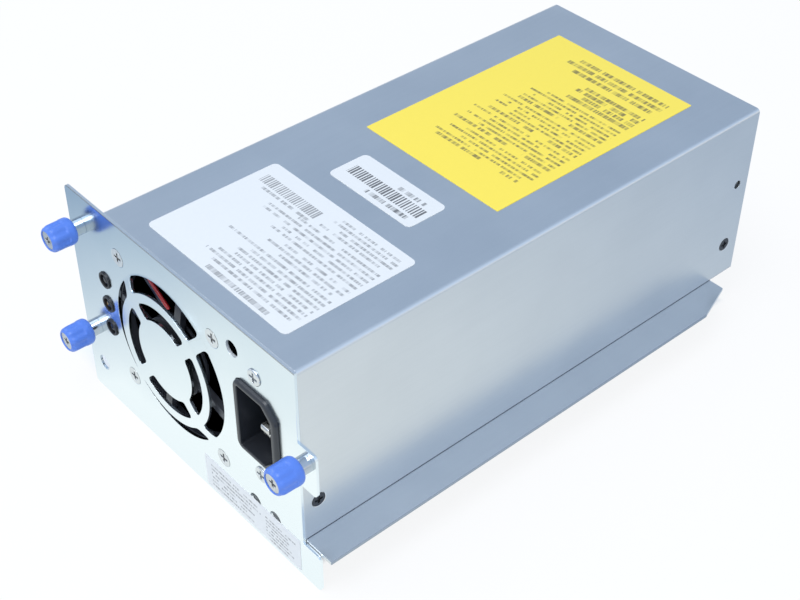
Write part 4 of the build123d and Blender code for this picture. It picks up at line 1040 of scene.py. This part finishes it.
class PSU_OT_stage(Operator):
    """Sets the floor, the soft light and the camera"""

    bl_idname = "psu.stage"
    bl_label = "Stage"

    def execute(self, context):
        settings = context.scene.psu_stage
        self.floor(settings.floor)
        self.sky(context.scene, settings.sky_left, settings.sky_right, settings.sky_rear)
        self.lamp("key", LAMP_TARGET + KEY_PLACE, LAMP_TARGET, KEY_SIZE, settings.key_power)
        self.lamp("fill", LAMP_TARGET + FILL_PLACE, LAMP_TARGET, FILL_SIZE, settings.fill_power)
        self.camera(context.scene, settings.lens)
        context.scene.view_settings.view_transform = "Standard"
        return {"FINISHED"}

    def floor(self, colour):
        """A plain pale floor under the skirt, dark only where the case covers it; in reflections it glows
        dimmer and bluer towards the left and the rear, a painted reflection.
        """
        bpy.ops.object.select_all(action="DESELECT")
        bpy.ops.mesh.primitive_grid_add(
            x_subdivisions=FLOOR_CELLS, y_subdivisions=FLOOR_CELLS, size=FLOOR_SIZE, location=(0, 0, 0)
        )
        floor_sheet = bpy.context.object
        floor_sheet.name = "floor"
        bpy.ops.object.mode_set(mode="EDIT")
        bpy.ops.mesh.select_all(action="SELECT")
        bpy.ops.transform.translate(value=(0, 0, cad_box[0].z - FLOOR_GAP))
        bpy.ops.object.mode_set(mode="OBJECT")
        material = bpy.data.materials.new("pale_floor")
        material.use_nodes = True
        tree = material.node_tree
        tree.nodes.clear()
        x, y, _ = axes_of(tree, place_on(tree))
        low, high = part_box("top_cover")
        within = (x - low.x).least(high.x - x).least(y - low.y).least(high.y - y)
        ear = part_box("front_plate")[0].x
        beside = (x - ear + EAR_MARGIN).least(low.x - x + WALL_MARGIN)
        beside = beside.least(y - low.y).least(low.y + EAR_SHADE_DEPTH - y)
        uncovered = 1.0 - (within / CASE_FADE).most(beside / EAR_FADE).share()
        camera_ray, glossy_ray, clear_ray = (
            Signal.make(tree, "ShaderNodeLightPath", output=name)
            for name in ("Is Camera Ray", "Is Glossy Ray", "Is Transmission Ray")
        )
        mirrored = glossy_ray + clear_ray
        # Painted reflection: seen in metal, the floor glows dimmer and bluer towards the left and the rear
        lit = (1.44 + x * 8.2).least(0.585 - y * 3.24).share()
        tone = mixed(tree, lit, FLOOR_SHADE, FLOOR_SHEEN)
        seen = uncovered * (camera_ray * FLOOR_GLOW + mirrored)
        matt = Signal.make(tree, "ShaderNodeBsdfDiffuse", values={"Color": (*colour, 1)})
        glow = mixed(tree, mirrored, (1, 1, 1), tone)
        pale = Signal.make(tree, "ShaderNodeEmission", values={"Color": glow})
        shown = Signal.make(tree, "ShaderNodeMixShader", values={0: seen, 1: matt, 2: pale})
        output = tree.nodes.new("ShaderNodeOutputMaterial")
        tree.links.new(shown.socket, output.inputs["Surface"])
        paint(floor_sheet, material)

    def sky(self, scene, left, right, rear):
        """Soft light that is white at the horizon, dimmer and bluer above, to the left and at the rear."""
        world = bpy.data.worlds.new("studio")
        scene.world = world
        world.use_nodes = True
        tree = world.node_tree
        x, y, z = axes_of(tree, Signal.make(tree, "ShaderNodeTexCoord", output="Generated"))
        above = mixed(tree, (x * 0.9 + 0.5).share(), left, right)
        above = mixed(tree, (y * 1.5 - 0.6).share() * 0.5, above, rear)
        light = mixed(tree, ((z - HORIZON) / HORIZON_FADE).share(), (1.0, 1.0, 1.0), above)
        Signal.feed(tree, tree.nodes["Background"].inputs["Color"], light)

    def lamp(self, name, place, target, size, power):
        """A soft square lamp turned to the object."""
        data = bpy.data.lights.new(name, "AREA")
        data.size = size
        data.energy = power
        lamp = bpy.data.objects.new(name, data)
        lamp.location = place
        lamp.rotation_euler = (target - place).to_track_quat("-Z", "Y").to_euler()
        bpy.context.collection.objects.link(lamp)

    def camera(self, scene, lens):
        """The camera, above and in front of the right side."""
        data = bpy.data.cameras.new("camera")
        data.lens = lens
        data.sensor_width = SENSOR_WIDTH
        camera = bpy.data.objects.new("camera", data)
        right = Vector((0.65987, 0.75137, 0.00449))
        down = Vector((0.48578, -0.42205, -0.76544))
        ahead = Vector((-0.57323, 0.50727, -0.6435))
        turn = Matrix((right, -down, -ahead)).transposed()
        place = Vector((286.62, -273.55, 342.8)) * MM
        camera.matrix_world = Matrix.Translation(place) @ turn.to_4x4()
        bpy.context.collection.objects.link(camera)
        scene.camera = camera


PIECES = (
    PSU_OT_case, PSU_OT_fan, PSU_OT_inlet, PSU_OT_lamps, PSU_OT_thumbscrews, PSU_OT_labels, PSU_OT_rear,
    PSU_OT_inside, PSU_OT_stage,
)
SETTINGS = {
    "psu_case": CaseSettings, "psu_thumbscrews": ThumbscrewSettings, "psu_labels": LabelSettings,
    "psu_stage": StageSettings,
}


class PSU_PT_looks(Panel):
    """Lists the pieces of the power supply"""

    bl_idname = "PSU_PT_looks"
    bl_label = "Power supply"
    bl_space_type = "VIEW_3D"
    bl_region_type = "UI"
    bl_category = "Power supply"

    def draw(self, context):
        for piece in PIECES:
            self.layout.operator(piece.bl_idname)
        for name, group in SETTINGS.items():
            for setting in group.__annotations__:
                self.layout.prop(getattr(context.scene, name), setting)


def register():
    for group in SETTINGS.values():
        bpy.utils.register_class(group)
    for piece in (*PIECES, PSU_PT_looks):
        bpy.utils.register_class(piece)
    for name, group in SETTINGS.items():
        setattr(bpy.types.Scene, name, PointerProperty(type=group))


def unregister():
    for name in SETTINGS:
        delattr(bpy.types.Scene, name)
    for piece in (PSU_PT_looks, *reversed(PIECES)):
        bpy.utils.unregister_class(piece)
    for group in SETTINGS.values():
        bpy.utils.unregister_class(group)


def main():
    register()
    for piece in PIECES:
        group, name = piece.bl_idname.split(".")
        getattr(getattr(bpy.ops, group), name)()


if __name__ == "__main__":
    main()
